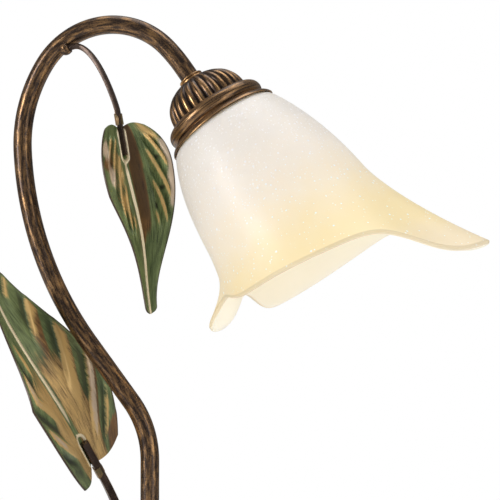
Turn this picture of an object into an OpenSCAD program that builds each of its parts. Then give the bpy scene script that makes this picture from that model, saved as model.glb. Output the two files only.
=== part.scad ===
// Table lamp: a bent bronze tube on a round weighted base, two stamped leaves on square stalks,
// a gadrooned gallery cup and a lily-shaped glass shade over a small screw bulb.
// Millimetres. +Z is up, the table is Z = 0, and the stem bends in the XZ plane with the shade at +X.

/* [Base] */
// Diameter of the base cover at the table
base_d = 156; // [140:1:190]
// Height of the base cover
base_h = 33; // [30:1:40]
// Height of the upright rim of the cover
base_rim_h = 12; // [11:0.5:14]
// Sheet thickness of the cover
base_wall = 1.5; // [1:0.1:2]
// Thickness of the felt under the base
felt_t = 2; // [1.5:0.5:3]
// Thickness of the steel closing plate
plate_t = 1.2; // [1:0.1:1.6]
// Outer diameter of the turned collar at the foot of the stem
foot_collar_d = 27; // [24:1:32]
// Height of that collar
foot_collar_h = 13; // [10:1:18]

/* [Stem] */
// Outer diameter of the tube
tube_d = 12; // [11:0.5:13]
// Wall of the tube
tube_wall = 1; // [0.8:0.1:1.2]
// Height at which the stem leaves the upright
stem_rise = 187; // [180:1:200]
// Radius of the bend above the upright part
low_bend_r = 62.5; // [55:0.5:70]
// Angle of that bend
low_bend_a = 37; // [35:1:39]
// Length of the straight slope
slope_len = 47.5; // [40:0.5:55]
// Radius of the long back curve
back_r = 226; // [210:1:240]
// Angle of the long back curve
back_a = 34; // [32:1:35]
// Radius of the shoulder curve
shoulder_r = 94; // [88:1:100]
// Angle of the shoulder curve
shoulder_a = 35.7; // [34:0.1:37]
// Radius of the arch over the top
arch_r = 52.8; // [48:0.2:58]
// Angle of the arch over the top
arch_a = 103.1; // [100:0.1:105]
// Radius of the last soft bend
end_r = 110; // [100:1:130]
// Angle of the last soft bend
end_a = 9; // [7:0.5:11]
// Straight length before the gallery cup
end_len = 8.6; // [8.2:0.1:12]

/* [Gallery cup] */
// Radius of the dome at its foot
dome_r = 26.8; // [25:0.1:29]
// Height from the tube's end to the foot of the dome
dome_h = 23.7; // [22:0.1:26]
// Number of gadroons round the dome
gadroons = 28; // [20:1:32]
// Sheet thickness of the dome
dome_wall = 1.2; // [1:0.1:1.5]
// Radius of the rolled bead of the gallery ring
bead_r = 5.3; // [4.8:0.1:5.6]
// Radius of the circle on which the bead runs
bead_ring_r = 28.6; // [28:0.1:29]
// Sheet thickness of the gallery ring
ring_wall = 1.2; // [1:0.1:1.4]
// Radius of the thin lip that hugs the glass
lip_r = 37.6; // [37.2:0.1:38.2]

/* [Glass shade] */
// Wall of the glass
glass_wall = 3; // [2.5:0.1:3.5]
// Radius at the shoulder
shoulder_glass_r = 37.2; // [36.8:0.1:37.4]
// Growth of the radius towards the mouth
mouth_growth = 28; // [24:0.5:32]
// Length over which that growth fades
mouth_fade = 52; // [46:1:58]
// Distance from the tube's end to the side rims
rim_t = 144.5; // [138:0.5:152]
// Length of the long tip beyond the side rims
tip_len = 55; // [45:1:60]
// Outward flare of the long tip
tip_flare = 31; // [24:0.5:34]
// Outward flare of the short lip on the stem side
lip_flare = 15; // [8:0.5:16]
// Radius of the hole in the top of the glass
glass_hole_r = 14.8; // [14.6:0.1:15.4]

/* [Leaves] */
// Sheet thickness of both leaves
leaf_wall = 1; // [0.8:0.1:1.2]
// Fold of each half of the upper leaf at its heart end
upper_fold = 41; // [36:1:43]
// Length of the upper leaf
upper_len = 119; // [110:0.5:128]
// Half width of the upper leaf
upper_half_w = 33.5; // [29:0.5:36]
// Fold of each half of the lower leaf at its heart end
lower_fold = 20; // [16:1:28]
// Length of the lower leaf
lower_len = 191; // [176:1:196]
// Half width of the lower leaf
lower_half_w = 45.5; // [40:0.5:47]
// Height of the embossed waves
emboss = 1.3; // [0.6:0.1:1.8]
// Height of the raised midrib
rib_h = 1.1; // [0.5:0.1:1.5]
// Side of the square stalks
bar_w = 4.4; // [4:0.1:4.8]
// Height above the table at which the lower stalk is brazed on
low_joint_z = 78; // [70:1:90]
// Turn along the arch at which the upper stalk is brazed on
high_joint_a = 19; // [15:1:25]

/* [Lampholder and bulb] */
// Radius of the threaded skirt of the lampholder
skirt_r = 13.9; // [13.5:0.1:14.1]
// Distance from the tube's end to the mouth of the lampholder
holder_end = 60; // [58:0.5:64]
// Radius of the bulb's screw cap
cap_r = 6.9; // [6.8:0.05:7]
// Diameter of the round bulb
bulb_d = 45; // [40:1:47]
// Outer radius of the shade ring
clamp_r = 21.5; // [20:0.1:23]
// Thickness of the rubber gaskets
gasket_t = 1; // [0.8:0.1:1.4]

/* [Hidden] */
$fn = 72;

// Clearances: pressed and brazed seats, screw fits, and faces of pieces that move
seat_gap = 0.05;
// Bands that join the steps of the bent tube: a hair proud of the wall on both sides
band_t = 0.03;
band_len = 0.8;
screw_gap = 0.1;
move_gap = 0.3;

// Tube and nipples
tube_r = tube_d / 2;
bore_r = tube_r - tube_wall;
nipple_r = bore_r - seat_gap;
nipple_wall = 1.3;

// Levels of the base, from the table up
plate_z = felt_t;
ballast_z = plate_z + plate_t + 0.1;
base_r = base_d / 2;
rim_top_z = felt_t + base_rim_h;
step_r = base_r - 7;
step_z = rim_top_z + 3;
cove_r = base_r * 0.5;
cove_z = step_z + (felt_t + base_h - step_z) * 0.42;
crown_r = foot_collar_d / 2 + 3;
crown_z = felt_t + base_h;
tube_foot_z = crown_z;
bush_r = 4;
bush_z = felt_t + base_rim_h / 2 - 0.6;
recess_r = 17;
nut_z = ballast_z + 3;
nut_h = 5;
washer_t = 1.6;

// Head, measured along the axis of the shade from the collar plane at the tube's end
seat_t = 1.2;
flange_top_t = -0.6;
dome_top_t = 2.4;
neck_r = 8.4;
spigot_r = tube_r + 0.9;
head_nut_t = dome_top_t + dome_wall;
head_nut_h = 3;
cap_top_t = head_nut_t + head_nut_h + 0.4;
cap_skirt_t = cap_top_t + 17;
floor_t = cap_skirt_t + 6;
contact_t = 1.4;
bead_t = dome_h + bead_r + 0.3;
land_in_r = dome_r - 3.2;
land_low_t = bead_t + bead_r;
glass_top_t = land_low_t + gasket_t + move_gap;
glass_floor_t = glass_top_t + glass_wall;
clamp_t = glass_floor_t + gasket_t + move_gap;
clamp_h = 5.8;
bulb_t = floor_t + contact_t + move_gap;
bulb_cap_len = 22;
bulb_wall = 0.9;
bulb_cap_t = bulb_t + 2.5;
bulb_neck_t = bulb_cap_t + bulb_cap_len;
bulb_centre_t = bulb_neck_t + 9 + bulb_d / 2;

// Bronze, gold, leaf and glass colours
bronze = [0.30, 0.22, 0.17];
gold = [0.72, 0.55, 0.30];
iron = [0.25, 0.25, 0.26];
steel = [0.62, 0.62, 0.63];
leaf_green = [0.40, 0.45, 0.28];
milk_glass = [0.96, 0.92, 0.82];
brass = [0.78, 0.62, 0.30];
dark_plastic = [0.10, 0.10, 0.10];

// ---- Path of the stem in the XZ plane: each step is [length, 0] or [signed radius, angle] ----

stem_steps = [
  [stem_rise - tube_foot_z, 0],
  [low_bend_r, low_bend_a],
  [slope_len, 0],
  [-back_r, back_a],
  [-shoulder_r, shoulder_a],
  [-arch_r, arch_a],
  [-end_r, end_a],
  [end_len + seat_t, 0]
];

// Pose [x, z, heading] after one step from pose p
function after(p, s) =
  s[1] == 0
    ? [p[0] + s[0] * cos(p[2]), p[1] + s[0] * sin(p[2]), p[2]]
    : let (h = p[2] + sign(s[0]) * s[1])
      [p[0] + s[0] * (sin(h) - sin(p[2])), p[1] - s[0] * (cos(h) - cos(p[2])), h];

function stem_pose(i) = i == 0 ? [0, tube_foot_z, 90] : after(stem_pose(i - 1), stem_steps[i - 1]);

// The collar plane lies short of the tube's end by the depth of its seat in the neck
last_pose = stem_pose(len(stem_steps) - 1);
stem_end = after(last_pose, [end_len, 0]);

// Profile swept over one step that starts at the origin and heads up; local +X is the right-hand side
module sweep_step(s) {
  if (s[1] == 0)
    linear_extrude(s[0]) children();
  else
    mirror([s[0] > 0 ? 0 : 1, 0, 0])
      translate([-abs(s[0]), 0, 0])
        rotate([90, 0, 0])
          rotate_extrude(angle = s[1], $fn = 72)
            translate([abs(s[0]), 0])
              rotate(s[0] > 0 ? 0 : 180)
                children();
}

// Profile swept over the whole path from step i on, each step turned about the centre of the last bend
module sweep_path(i) {
  s = stem_steps[i];
  sweep_step(s) children();
  if (i < len(stem_steps) - 1)
    if (s[1] == 0)
      translate([0, 0, s[0]]) sweep_path(i + 1) children();
    else
      translate([-s[0], 0, 0])
        rotate([0, -sign(s[0]) * s[1], 0])
          translate([s[0], 0, 0])
            sweep_path(i + 1) children();
}

// One step of the path in its own place
module placed_step(i) {
  p = stem_pose(i);
  translate([p[0], 0, p[1]]) rotate([0, 90 - p[2], 0]) sweep_step(stem_steps[i]) children();
}

module tube_section(proud = 0) {
  difference() {
    circle(tube_r + proud, $fn = 32);
    circle(bore_r - proud, $fn = 32);
  }
}

// The tube up to step i; a hair-thin band over each tangent point joins the steps into one solid
module tube_to(i) {
  p = stem_pose(i);
  if (i > 0)
    union() {
      union() {
        tube_to(i - 1);
        translate([p[0], 0, p[1]])
          rotate([0, 90 - p[2], 0])
            translate([0, 0, -band_len / 2])
              linear_extrude(band_len) tube_section(band_t);
      }
      placed_step(i) tube_section();
    }
  else
    placed_step(i) tube_section();
}

// Frame of the head: local +Z runs along the shade's axis, local +X towards the long tip
module at_head() {
  translate([stem_end[0], 0, stem_end[1]])
    rotate([0, 90 - stem_end[2], 0])
      rotate([0, 0, 180])
        children();
}

module head_turned(points) {
  at_head() rotate_extrude() polygon(points);
}

// ---- Base ----

module felt_pad() {
  color([0.16, 0.15, 0.14])
    cylinder(r = base_r - 3, h = felt_t);
}

module bottom_plate() {
  color(steel)
    translate([0, 0, plate_z])
      difference() {
        cylinder(r = base_r - base_wall - 0.5, h = plate_t);
        translate([0, 0, -1]) cylinder(r = recess_r - 4, h = plate_t + 2);
      }
}

// Outer outline of the cover, d deep inside the sheet
function cover_outline(d) = concat(
  [[base_r - d, felt_t], [base_r - d, rim_top_z - 1.5 - d * 0.4]],
  [for (a = [0:30:90]) [base_r - 1.5 + (1.5 - d * 0.4) * cos(a) - d * 0.6, rim_top_z - 1.5 + (1.5 - d * 0.4) * sin(a) - d * 0.6]],
  [[step_r - d, rim_top_z - d], [step_r - d, step_z - d]],
  [for (a = [0:15:90]) [
      cove_r + (step_r - 2 - cove_r) * (1 - sin(a)) - d * 0.3,
      step_z + (cove_z - step_z) * (1 - cos(a)) - d
    ]],
  [for (a = [15:15:90]) [
      cove_r - (cove_r - crown_r) * sin(a) - d * 0.3 * cos(a),
      cove_z + (crown_z - cove_z) * sin(a) - d
    ]]
);

module base_cover() {
  color(bronze)
    difference() {
      rotate_extrude($fn = 96)
        polygon(concat(cover_outline(0), [[0, crown_z], [0, felt_t]]));
      rotate_extrude($fn = 96)
        polygon(concat(
          [[base_r - base_wall, felt_t - 1]],
          cover_outline(base_wall),
          [[0, crown_z - base_wall], [0, felt_t - 1]]
        ));
      cylinder(r = nipple_r + seat_gap, h = crown_z + 1);
      translate([-base_r + 3, 0, bush_z])
        rotate([0, -90, 0]) cylinder(r = bush_r + seat_gap, h = 6);
    }
}

module base_ballast() {
  color(iron)
    difference() {
      rotate_extrude($fn = 96)
        polygon([
          [0, ballast_z], [step_r - 5, ballast_z], [step_r - 5, step_z - base_wall - 1.5],
          [cove_r + 3, step_z - base_wall - 1.5], [cove_r - 9, cove_z - base_wall - 1.2],
          [crown_r, crown_z - base_wall - 2.2], [crown_r - 2, crown_z - base_wall], [0, crown_z - base_wall]
        ]);
      translate([0, 0, -1]) cylinder(r = nipple_r + 0.3, h = crown_z + 2);
      translate([0, 0, -1]) cylinder(r = recess_r, h = nut_z + nut_h + washer_t + 1 + seat_gap);
      translate([-base_r, -bush_r - 1, -1]) cube([base_r, 2 * bush_r + 2, bush_z + bush_r + 2]);
    }
}

module cord_bush() {
  color(dark_plastic)
    translate([-base_r, 0, bush_z])
      rotate([0, -90, 0])
        rotate_extrude()
          polygon([
            [3.2, -base_wall - 3], [bush_r, -base_wall - 3], [bush_r, 0.1],
            [bush_r + 1.2, 0.1], [bush_r + 1.2, 1.2], [bush_r + 0.2, 2.2], [3.8, 2.2], [3.2, 1.6]
          ]);
}

module foot_collar() {
  r = foot_collar_d / 2;
  h = foot_collar_h;
  color(bronze)
    translate([0, 0, crown_z])
      rotate_extrude()
        polygon(concat(
          [[tube_r + seat_gap, 0], [r, 0], [r, 2]],
          [for (a = [0:15:90]) [r - 3.2 + 1.6 * cos(a), 2.4 + 1.6 * sin(a)]],
          [for (a = [0:15:90]) [r - 3.2 - (r - tube_r - 5.2) * sin(a), 4 + (h - 6.5) * (1 - cos(a))]],
          [for (a = [-60:20:90]) [tube_r + 0.8 + 1.2 * cos(a), h - 1.2 + 1.2 * sin(a)]],
          [[tube_r + seat_gap, h]]
        ));
}

module stem_nipple() {
  color(steel)
    translate([0, 0, nut_z - 2])
      difference() {
        cylinder(r = nipple_r, h = tube_foot_z + 26 - nut_z + 2);
        translate([0, 0, -1]) cylinder(r = nipple_r - nipple_wall, h = tube_foot_z + 32);
      }
}

module base_washer() {
  color(steel)
    translate([0, 0, nut_z + nut_h + 0.02])
      difference() {
        cylinder(r = 11, h = washer_t);
        translate([0, 0, -1]) cylinder(r = nipple_r + seat_gap, h = washer_t + 2);
      }
}

module base_nut() {
  color(steel)
    translate([0, 0, nut_z])
      difference() {
        cylinder(r = 9.8, h = nut_h, $fn = 6);
        translate([0, 0, -1]) cylinder(r = nipple_r + seat_gap, h = nut_h + 2);
      }
}

// ---- Stem ----

module stem_tube() {
  color(bronze)
    tube_to(len(stem_steps) - 1);
}

// ---- Leaves ----

// A leaf lies along local +X with its front towards local +Z; place is [position, angles]
upper_place = [[-16.3, -16, 396.8], [51.4, 79.9, 1.5]];
lower_place = [[-46.7, 21, 184.4], [-77.6, -51.4, 245.7]];

function turned(v, a) =
  let (
    p = [v[0], v[1] * cos(a[0]) - v[2] * sin(a[0]), v[1] * sin(a[0]) + v[2] * cos(a[0])],
    q = [p[0] * cos(a[1]) + p[2] * sin(a[1]), p[1], -p[0] * sin(a[1]) + p[2] * cos(a[1])]
  )
  [q[0] * cos(a[2]) - q[1] * sin(a[2]), q[0] * sin(a[2]) + q[1] * cos(a[2]), q[2]];

function placed(v, place) = place[0] + turned(v, place[1]);

function unit(v) = v / norm(v);

// Share of the half width at s: a heart end, a belly, then a point; half is [width, belly, draw]
function leaf_share(s, half, spec) =
  s < half[1]
    ? sqrt(max(0, 1 - pow((half[1] - s) / half[1], 2) * spec[7]))
    : (spec[6] + (1 - spec[6]) * (0.5 + 0.5 * cos(180 * pow((s - half[1]) / (1 - half[1]), half[2]))))
      * sqrt(max(0, 1 - pow(max(0, (s - 0.965) / 0.0352), 2)));

// Columns over a leaf, close together at the midrib
leaf_v = [-1, -0.82, -0.64, -0.46, -0.3, -0.17, -0.06, 0, 0.06, 0.17, 0.3, 0.46, 0.64, 0.82, 1];
leaf_rows = 26;

// Point on the middle surface of a leaf; a spec is
// [length, left half, right half, side bow, front bow, fold, tip share, heart depth, lobe height]
function leaf_point(s, v, spec) =
  let (
    top = spec[8] * sin(180 * abs(v)) * pow(1 - s, 4),
    x = (s - top) * spec[0],
    half = v < 0 ? spec[1] : spec[2],
    w = half[0] * leaf_share(s, half, spec),
    after_bar = max(0, (s - 0.14) / 0.86),
    side = spec[3] * pow(sin(180 * after_bar), 2),
    front = spec[4] * pow(sin(180 * after_bar), 2),
    fold = spec[5] + 9 * s,
    d = abs(v) * w,
    lift = d * tan(fold) * (1 - 0.18 * abs(v)),
    wave = emboss * sin(360 * (4.2 * s - 1.1 * abs(v)) + (v > 0 ? 0 : 60))
           * sin(180 * min(1, abs(v) * 1.05)) * min(1, after_bar * 5) * (1 - 0.6 * s),
    rib = rib_h * max(0, 1 - d / 2.2) * min(1, after_bar * 8)
  )
  [x, side + sign(v) * d * cos(fold), front + lift * cos(fold) + wave + rib];

function leaf_normal(s, v, spec) =
  let (
    a = leaf_point(min(1, s + 0.004), v, spec) - leaf_point(max(0, s - 0.004), v, spec),
    b = leaf_point(s, min(1, v + 0.02), spec) - leaf_point(s, max(-1, v - 0.02), spec),
    n = cross(a, b)
  )
  norm(n) < 0.000001 ? [0, 0, 1] : unit(n);

function leaf_side(spec, d) = [
  for (i = [0:leaf_rows])
    for (v = leaf_v)
      let (s = 0.985 * pow(i / leaf_rows, 0.9) + (i == leaf_rows ? 0.013 : 0))
      leaf_point(s, v, spec) + d * leaf_normal(s, v, spec)
];

// Closed sheet between two grids with the same rows and columns
module sheet(front, back, rows, cols) {
  n = len(front);
  quads = [for (i = [0:rows - 2]) for (j = [0:cols - 2]) [i * cols + j, i * cols + j + 1, (i + 1) * cols + j + 1, (i + 1) * cols + j]];
  edge = concat(
    [for (j = [0:cols - 2]) j],
    [for (i = [0:rows - 2]) i * cols + cols - 1],
    [for (j = [cols - 1:-1:1]) (rows - 1) * cols + j],
    [for (i = [rows - 1:-1:1]) i * cols]
  );
  m = len(edge);
  polyhedron(
    points = concat(front, back),
    faces = concat(
      [for (q = quads) for (t = [[0, 1, 2], [0, 2, 3]]) [for (k = t) q[k]]],
      [for (q = quads) for (t = [[2, 1, 0], [3, 2, 0]]) [for (k = t) q[k] + n]],
      [for (k = [0:m - 1]) [edge[(k + 1) % m], edge[k], edge[k] + n]],
      [for (k = [0:m - 1]) [edge[(k + 1) % m], edge[k] + n, edge[(k + 1) % m] + n]]
    )
  );
}

module leaf(spec) {
  sheet(leaf_side(spec, leaf_wall / 2), leaf_side(spec, -leaf_wall / 2), leaf_rows + 1, len(leaf_v));
}

upper_spec = [
  upper_len, [upper_half_w, 0.37, 0.68], [upper_half_w, 0.22, 1.01], 3.9, -2.1, upper_fold, 0.178, 0.71, 0.025
];
lower_spec = [
  lower_len, [lower_half_w, 0.25, 0.8], [lower_half_w, 0.36, 0.4], -13.4, -16, lower_fold, 0.1, 0.53, 0.02
];

// The square bar lies with one arris in the fold of the leaf
bar_in = 17;
tongue_len = 11;
bar_half_diag = bar_w * sqrt(2) / 2;

function bar_lift(fold) = bar_half_diag + leaf_wall / 2 / cos(fold) + 0.15;

function bezier(p, t) =
  pow(1 - t, 3) * p[0] + 3 * t * pow(1 - t, 2) * p[1] + 3 * t * t * (1 - t) * p[2] + pow(t, 3) * p[3];

// Path of a stalk: a free curve from the braze at start, then straight into the leaf
function stalk_path(start, lead, place, lift, reach) =
  let (
    join = placed([-tongue_len - 1, 0, lift], place),
    ahead = placed([-tongue_len - 1 - reach, 0, lift], place)
  )
  concat(
    [for (i = [0:13]) bezier([start, start + lead, ahead, join], i / 14)],
    [join, placed([bar_in, 0, lift], place)]
  );

// Four corners of the bar at each point of its path, one corner towards up
function bar_rings(path, up) = [
  for (i = [0:len(path) - 1])
    let (
      t = unit(path[min(len(path) - 1, i + 1)] - path[max(0, i - 1)]),
      side = unit(cross(t, up)),
      out = cross(side, t)
    )
    for (k = [0:3]) path[i] + bar_half_diag * (cos(90 * k) * out + sin(90 * k) * side)
];

module bar(path, up) {
  pts = bar_rings(path, up);
  n = len(path);
  polyhedron(
    points = pts,
    faces = concat(
      [[0, 2, 1], [0, 3, 2]],
      [[4 * n - 4, 4 * n - 3, 4 * n - 2], [4 * n - 4, 4 * n - 2, 4 * n - 1]],
      [for (i = [0:n - 2]) for (k = [0:3]) [4 * i + k, 4 * i + (k + 1) % 4, 4 * i + 4 + (k + 1) % 4]],
      [for (i = [0:n - 2]) for (k = [0:3]) [4 * i + k, 4 * i + 4 + (k + 1) % 4, 4 * i + 4 + k]]
    )
  );
}

// Both stalks start beside the tube, just clear of it
bar_off = tube_r + bar_half_diag + 0.15;
high_pose = after(stem_pose(5), [-arch_r, high_joint_a]);
high_dir = [sin(high_pose[2]) * cos(50), -sin(50), -cos(high_pose[2]) * cos(50)];
high_start = [high_pose[0], 0, high_pose[1]] + bar_off * high_dir;
low_dir = [cos(150), sin(150), 0];
low_start = [0, 0, low_joint_z] + bar_off * low_dir;
high_lead = [11, -2, -1];
low_lead = [0, 0, 45];
upper_path = stalk_path(high_start, high_lead, upper_place, bar_lift(upper_fold), 20);
lower_path = stalk_path(low_start, low_lead, lower_place, bar_lift(lower_fold), 30);
upper_up = turned([0, 0, 1], upper_place[1]);
lower_up = turned([0, 0, 1], lower_place[1]);

module upper_stalk() {
  color(bronze) bar(upper_path, upper_up);
}

module lower_stalk() {
  color(bronze) bar(lower_path, lower_up);
}

// A lump of braze between the tube and the end face of the bar, which runs off along lead
module braze_lump(axis_point, dir, start, lead, r) {
  out = unit(lead);
  difference() {
    for (k = [0, 1])
      translate(axis_point + dir * (tube_r + 1.2) - out * (0.6 + 2.2 * k))
        sphere(r - 0.7 * k, $fn = 24);
    children();
    translate(start)
      rotate([0, acos(out[2]), atan2(out[1], out[0])])
        translate([-15, -15, 0]) cube(30);
  }
}

module upper_braze() {
  color(gold)
    braze_lump([high_pose[0], 0, high_pose[1]], high_dir, high_start, upper_path[1] - upper_path[0], 4.2)
      placed_step(5) circle(tube_r + seat_gap, $fn = 48);
}

module lower_braze() {
  color(gold)
    braze_lump([0, 0, low_joint_z], low_dir, low_start, lower_path[1] - lower_path[0], 4)
      translate([0, 0, low_joint_z - 20]) cylinder(r = tube_r + seat_gap, h = 40, $fn = 48);
}

module upper_leaf() {
  color(leaf_green) translate(upper_place[0]) rotate(upper_place[1]) leaf(upper_spec);
}

module lower_leaf() {
  color(leaf_green) translate(lower_place[0]) rotate(lower_place[1]) leaf(lower_spec);
}

// Tongue of the leaf, folded round the bar
module tongue(place, lift) {
  translate(place[0])
    rotate(place[1])
      translate([-tongue_len, 0, lift])
        rotate([0, 90, 0])
          linear_extrude(tongue_len - 3)
            difference() {
              rotate(45) square(bar_w + 1.2, center = true);
              rotate(45) square(bar_w + 2 * seat_gap, center = true);
            }
}

module upper_tongue() {
  color(leaf_green) tongue(upper_place, bar_lift(upper_fold));
}

module lower_tongue() {
  color(leaf_green) tongue(lower_place, bar_lift(lower_fold));
}

// ---- Gallery cup ----

module cup_neck() {
  color(gold)
    head_turned([
      [tube_r + seat_gap, flange_top_t], [neck_r - 0.9, flange_top_t], [neck_r - 0.2, flange_top_t + 0.5],
      [neck_r - 0.2, flange_top_t + 1.1], [neck_r - 0.8, flange_top_t + 1.5], [neck_r, flange_top_t + 2],
      [neck_r, dome_top_t], [spigot_r, dome_top_t], [spigot_r, dome_top_t + dome_wall - 0.2],
      [nipple_r + seat_gap, dome_top_t + dome_wall - 0.2], [nipple_r + seat_gap, seat_t], [tube_r + seat_gap, seat_t]
    ]);
}

// Crest radius of the dome at height t, a flattened bell curve
dome_crown_t = 1.5;

function dome_crest(t) = dome_r * pow(1 - pow((dome_h - t) / (dome_h - dome_crown_t), 2.4), 0.45);

function dome_groove(t) = 0.31 * 3.1416 * 2 * dome_crest(t) / gadroons;

function dome_outer(t, a) =
  dome_crest(t) - dome_groove(t) * (1 - pow(abs(sin(a * gadroons / 2)), 0.85));

dome_rows = 9;
dome_cols = gadroons * 4;

function dome_t(i) = dome_h - (dome_h - dome_top_t) * sin(90 * i / (dome_rows - 1));

function dome_inner(t) =
  dome_crest(max(t, dome_top_t)) - dome_groove(max(t, dome_top_t)) - dome_wall;

module cup_dome() {
  n = dome_cols;
  inner_t = [for (i = [0:dome_rows - 1]) dome_h - (dome_h - head_nut_t) * sin(90 * i / (dome_rows - 1))];
  ring = concat(
    [for (i = [0:dome_rows - 1]) [0, dome_t(i)]],
    [[1, dome_top_t], [1, head_nut_t]],
    [for (i = [dome_rows - 1:-1:0]) [2, inner_t[i]]]
  );
  m = len(ring);
  points = [
    for (q = ring)
      for (j = [0:n - 1])
        let (
          a = 360 * j / n,
          r = q[0] == 0 ? dome_outer(q[1], a) : q[0] == 1 ? spigot_r + 0.1 : dome_inner(q[1])
        )
        [r * cos(a), r * sin(a), q[1]]
  ];
  color(bronze)
    at_head()
      polyhedron(
        points = points,
        faces = [
          for (i = [0:m - 1])
            for (j = [0:n - 1])
              let (a = i * n + j, b = i * n + (j + 1) % n, c = ((i + 1) % m) * n + (j + 1) % n, d = ((i + 1) % m) * n + j)
              for (f = [[a, b, c], [a, c, d]]) f
        ]
      );
}

module gallery_ring() {
  color(bronze)
    at_head()
      rotate_extrude($fn = 96)
        union() {
          difference() {
            translate([bead_ring_r, bead_t]) circle(bead_r, $fn = 48);
            translate([bead_ring_r, bead_t]) circle(bead_r - ring_wall, $fn = 48);
            translate([0, bead_t - bead_r]) square([bead_ring_r - 2, 2 * bead_r]);
          }
          translate([land_in_r, dome_h]) square([bead_ring_r - land_in_r, ring_wall]);
          translate([land_in_r, land_low_t - ring_wall]) square([bead_ring_r - land_in_r + 1.5, ring_wall]);
          polygon([
            [bead_ring_r + 1, land_low_t - 0.9], [bead_ring_r + 3, land_low_t - 1.2],
            [bead_ring_r + 5.4, land_low_t - 0.2], [lip_r - 1.4, land_low_t + 1.2], [lip_r, land_low_t + 3],
            [lip_r - 0.5, land_low_t + 3.6], [lip_r - 2.2, land_low_t + 1.9],
            [bead_ring_r + 5, land_low_t + 0.7], [bead_ring_r + 1, land_low_t]
          ]);
        }
}

module head_nipple() {
  color(steel)
    head_turned([
      [nipple_r - nipple_wall, -7.5], [nipple_r, -7.5], [nipple_r, cap_top_t + 4], [nipple_r - nipple_wall, cap_top_t + 4]
    ]);
}

module head_nut() {
  color(brass)
    at_head()
      translate([0, 0, head_nut_t])
        difference() {
          cylinder(r = 9.8, h = head_nut_h, $fn = 6);
          translate([0, 0, -1]) cylinder(r = nipple_r + seat_gap, h = head_nut_h + 2);
        }
}

// ---- Lampholder ----

module holder_cap() {
  color(dark_plastic)
    head_turned(concat(
      [[nipple_r + seat_gap, cap_top_t], [8, cap_top_t]],
      [for (a = [75:-15:0]) [8 + 6.5 * cos(a), cap_top_t + 6.5 - 6.5 * sin(a)]],
      [[14.5, cap_skirt_t], [12.6, cap_skirt_t], [12.6, cap_top_t + 6], [11, cap_top_t + 2.5], [nipple_r + seat_gap, cap_top_t + 2.5]]
    ));
}

module holder_body() {
  color(dark_plastic)
    head_turned([
      [0, cap_skirt_t - 4], [12.5, cap_skirt_t - 4], [12.5, cap_skirt_t], [skirt_r, cap_skirt_t],
      [skirt_r, holder_end - 0.8], [skirt_r - 0.8, holder_end], [10.6, holder_end], [10, holder_end - 0.6],
      [10, holder_end - 6], [cap_r + 1.05, holder_end - 6], [cap_r + 1.05, floor_t], [0, floor_t]
    ]);
}

module screw_shell() {
  color(brass)
    head_turned([
      [cap_r + screw_gap, floor_t + 1], [cap_r + 1, floor_t + 1],
      [cap_r + 1, holder_end - 6], [cap_r + screw_gap, holder_end - 6]
    ]);
}

module centre_contact() {
  color(brass)
    head_turned([[0, floor_t], [3, floor_t], [3, floor_t + 0.6], [2, floor_t + contact_t], [0, floor_t + contact_t]]);
}

// ---- Shade and its clamp ----

module gallery_gasket() {
  color([0.85, 0.84, 0.8])
    head_turned([
      [land_in_r + 1, land_low_t], [bead_ring_r + 1, land_low_t],
      [bead_ring_r + 1, land_low_t + gasket_t], [land_in_r + 1, land_low_t + gasket_t]
    ]);
}

// Angle of column j round the shade, closer together at the long tip
glass_cols = 64;

function glass_angle(j) = let (a = 360 * j / glass_cols) a - 26 * sin(a);

function off(a, b) = let (d = ((a - b) % 360 + 540) % 360 - 180) d;

// Rim of the shade: a long tip at 0, a short lip near 170, a rise beside it and a notch on the far side
function glass_rim(a) =
  rim_t
  + (tip_len - 11) * exp(-pow(abs(off(a, 0)) / 28, 3))
  + 11 * exp(-pow(off(a, 0) / 60, 2))
  + 5 * exp(-pow(off(a, 150) / 20, 2))
  - 11 * exp(-pow(off(a, 208) / 10, 2));

// Outer radius at distance t along the axis and angle a
function glass_r(t, a) =
  shoulder_glass_r
  + mouth_growth * (1 - exp(-(t - glass_top_t - 2) / mouth_fade))
  + 4 * pow(max(0, (t - 100) / 44), 2) * (1 - exp(-pow(off(a, 0) / 40, 2)))
  + tip_flare * pow(max(0, (t - rim_t + 30) / 80), 1.5) * exp(-pow(off(a, 0) / 30, 2))
  + lip_flare * pow(max(0, (t - glass_rim(a) + 13) / 13), 1.3) * exp(-pow(off(a, 172) / 24, 2));

glass_flat = [glass_hole_r, (glass_hole_r + land_in_r) / 2, land_in_r + 3];
glass_rows = 15;

// Outer surface by row: the flat top, the rounded shoulder, then the wall down to the rim
function glass_outer(i, a) =
  i < 3
    ? [glass_flat[i], glass_top_t]
    : i < 6
      ? let (
          b = [22, 48, 74][i - 3],
          rs = shoulder_glass_r - 0.4 - glass_flat[2]
        )
        [glass_flat[2] + rs * sin(b), glass_top_t + 4.2 * (1 - cos(b))]
      : let (
          u = (i - 6) / (glass_rows - 1),
          t = glass_top_t + 4.4 + (glass_rim(a) - glass_top_t - 4.4) * pow(u, 0.92)
        )
        [glass_r(t, a), t];

glass_last = 6 + glass_rows - 1;

// Inner surface: the outer one moved square to itself by the wall
function glass_inner(i, a) =
  i < 3
    ? [glass_flat[i] - (i == 2 ? 1.2 : 0), glass_floor_t]
    : let (
        p = glass_outer(max(0, i - 1), a),
        q = glass_outer(min(glass_last, i + 1), a),
        d = (q - p) / norm(q - p),
        c = glass_outer(i, a)
      )
      [c[0] - glass_wall * max(d[1], 0.35), max(c[1] + glass_wall * d[0], i < 6 ? glass_floor_t + 0.2 * (i - 2) : 0)];

function glass_row(k) =
  k <= glass_last ? [0, k] : k == glass_last + 1 ? [2, 0] : [1, 2 * glass_last + 2 - k];

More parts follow.
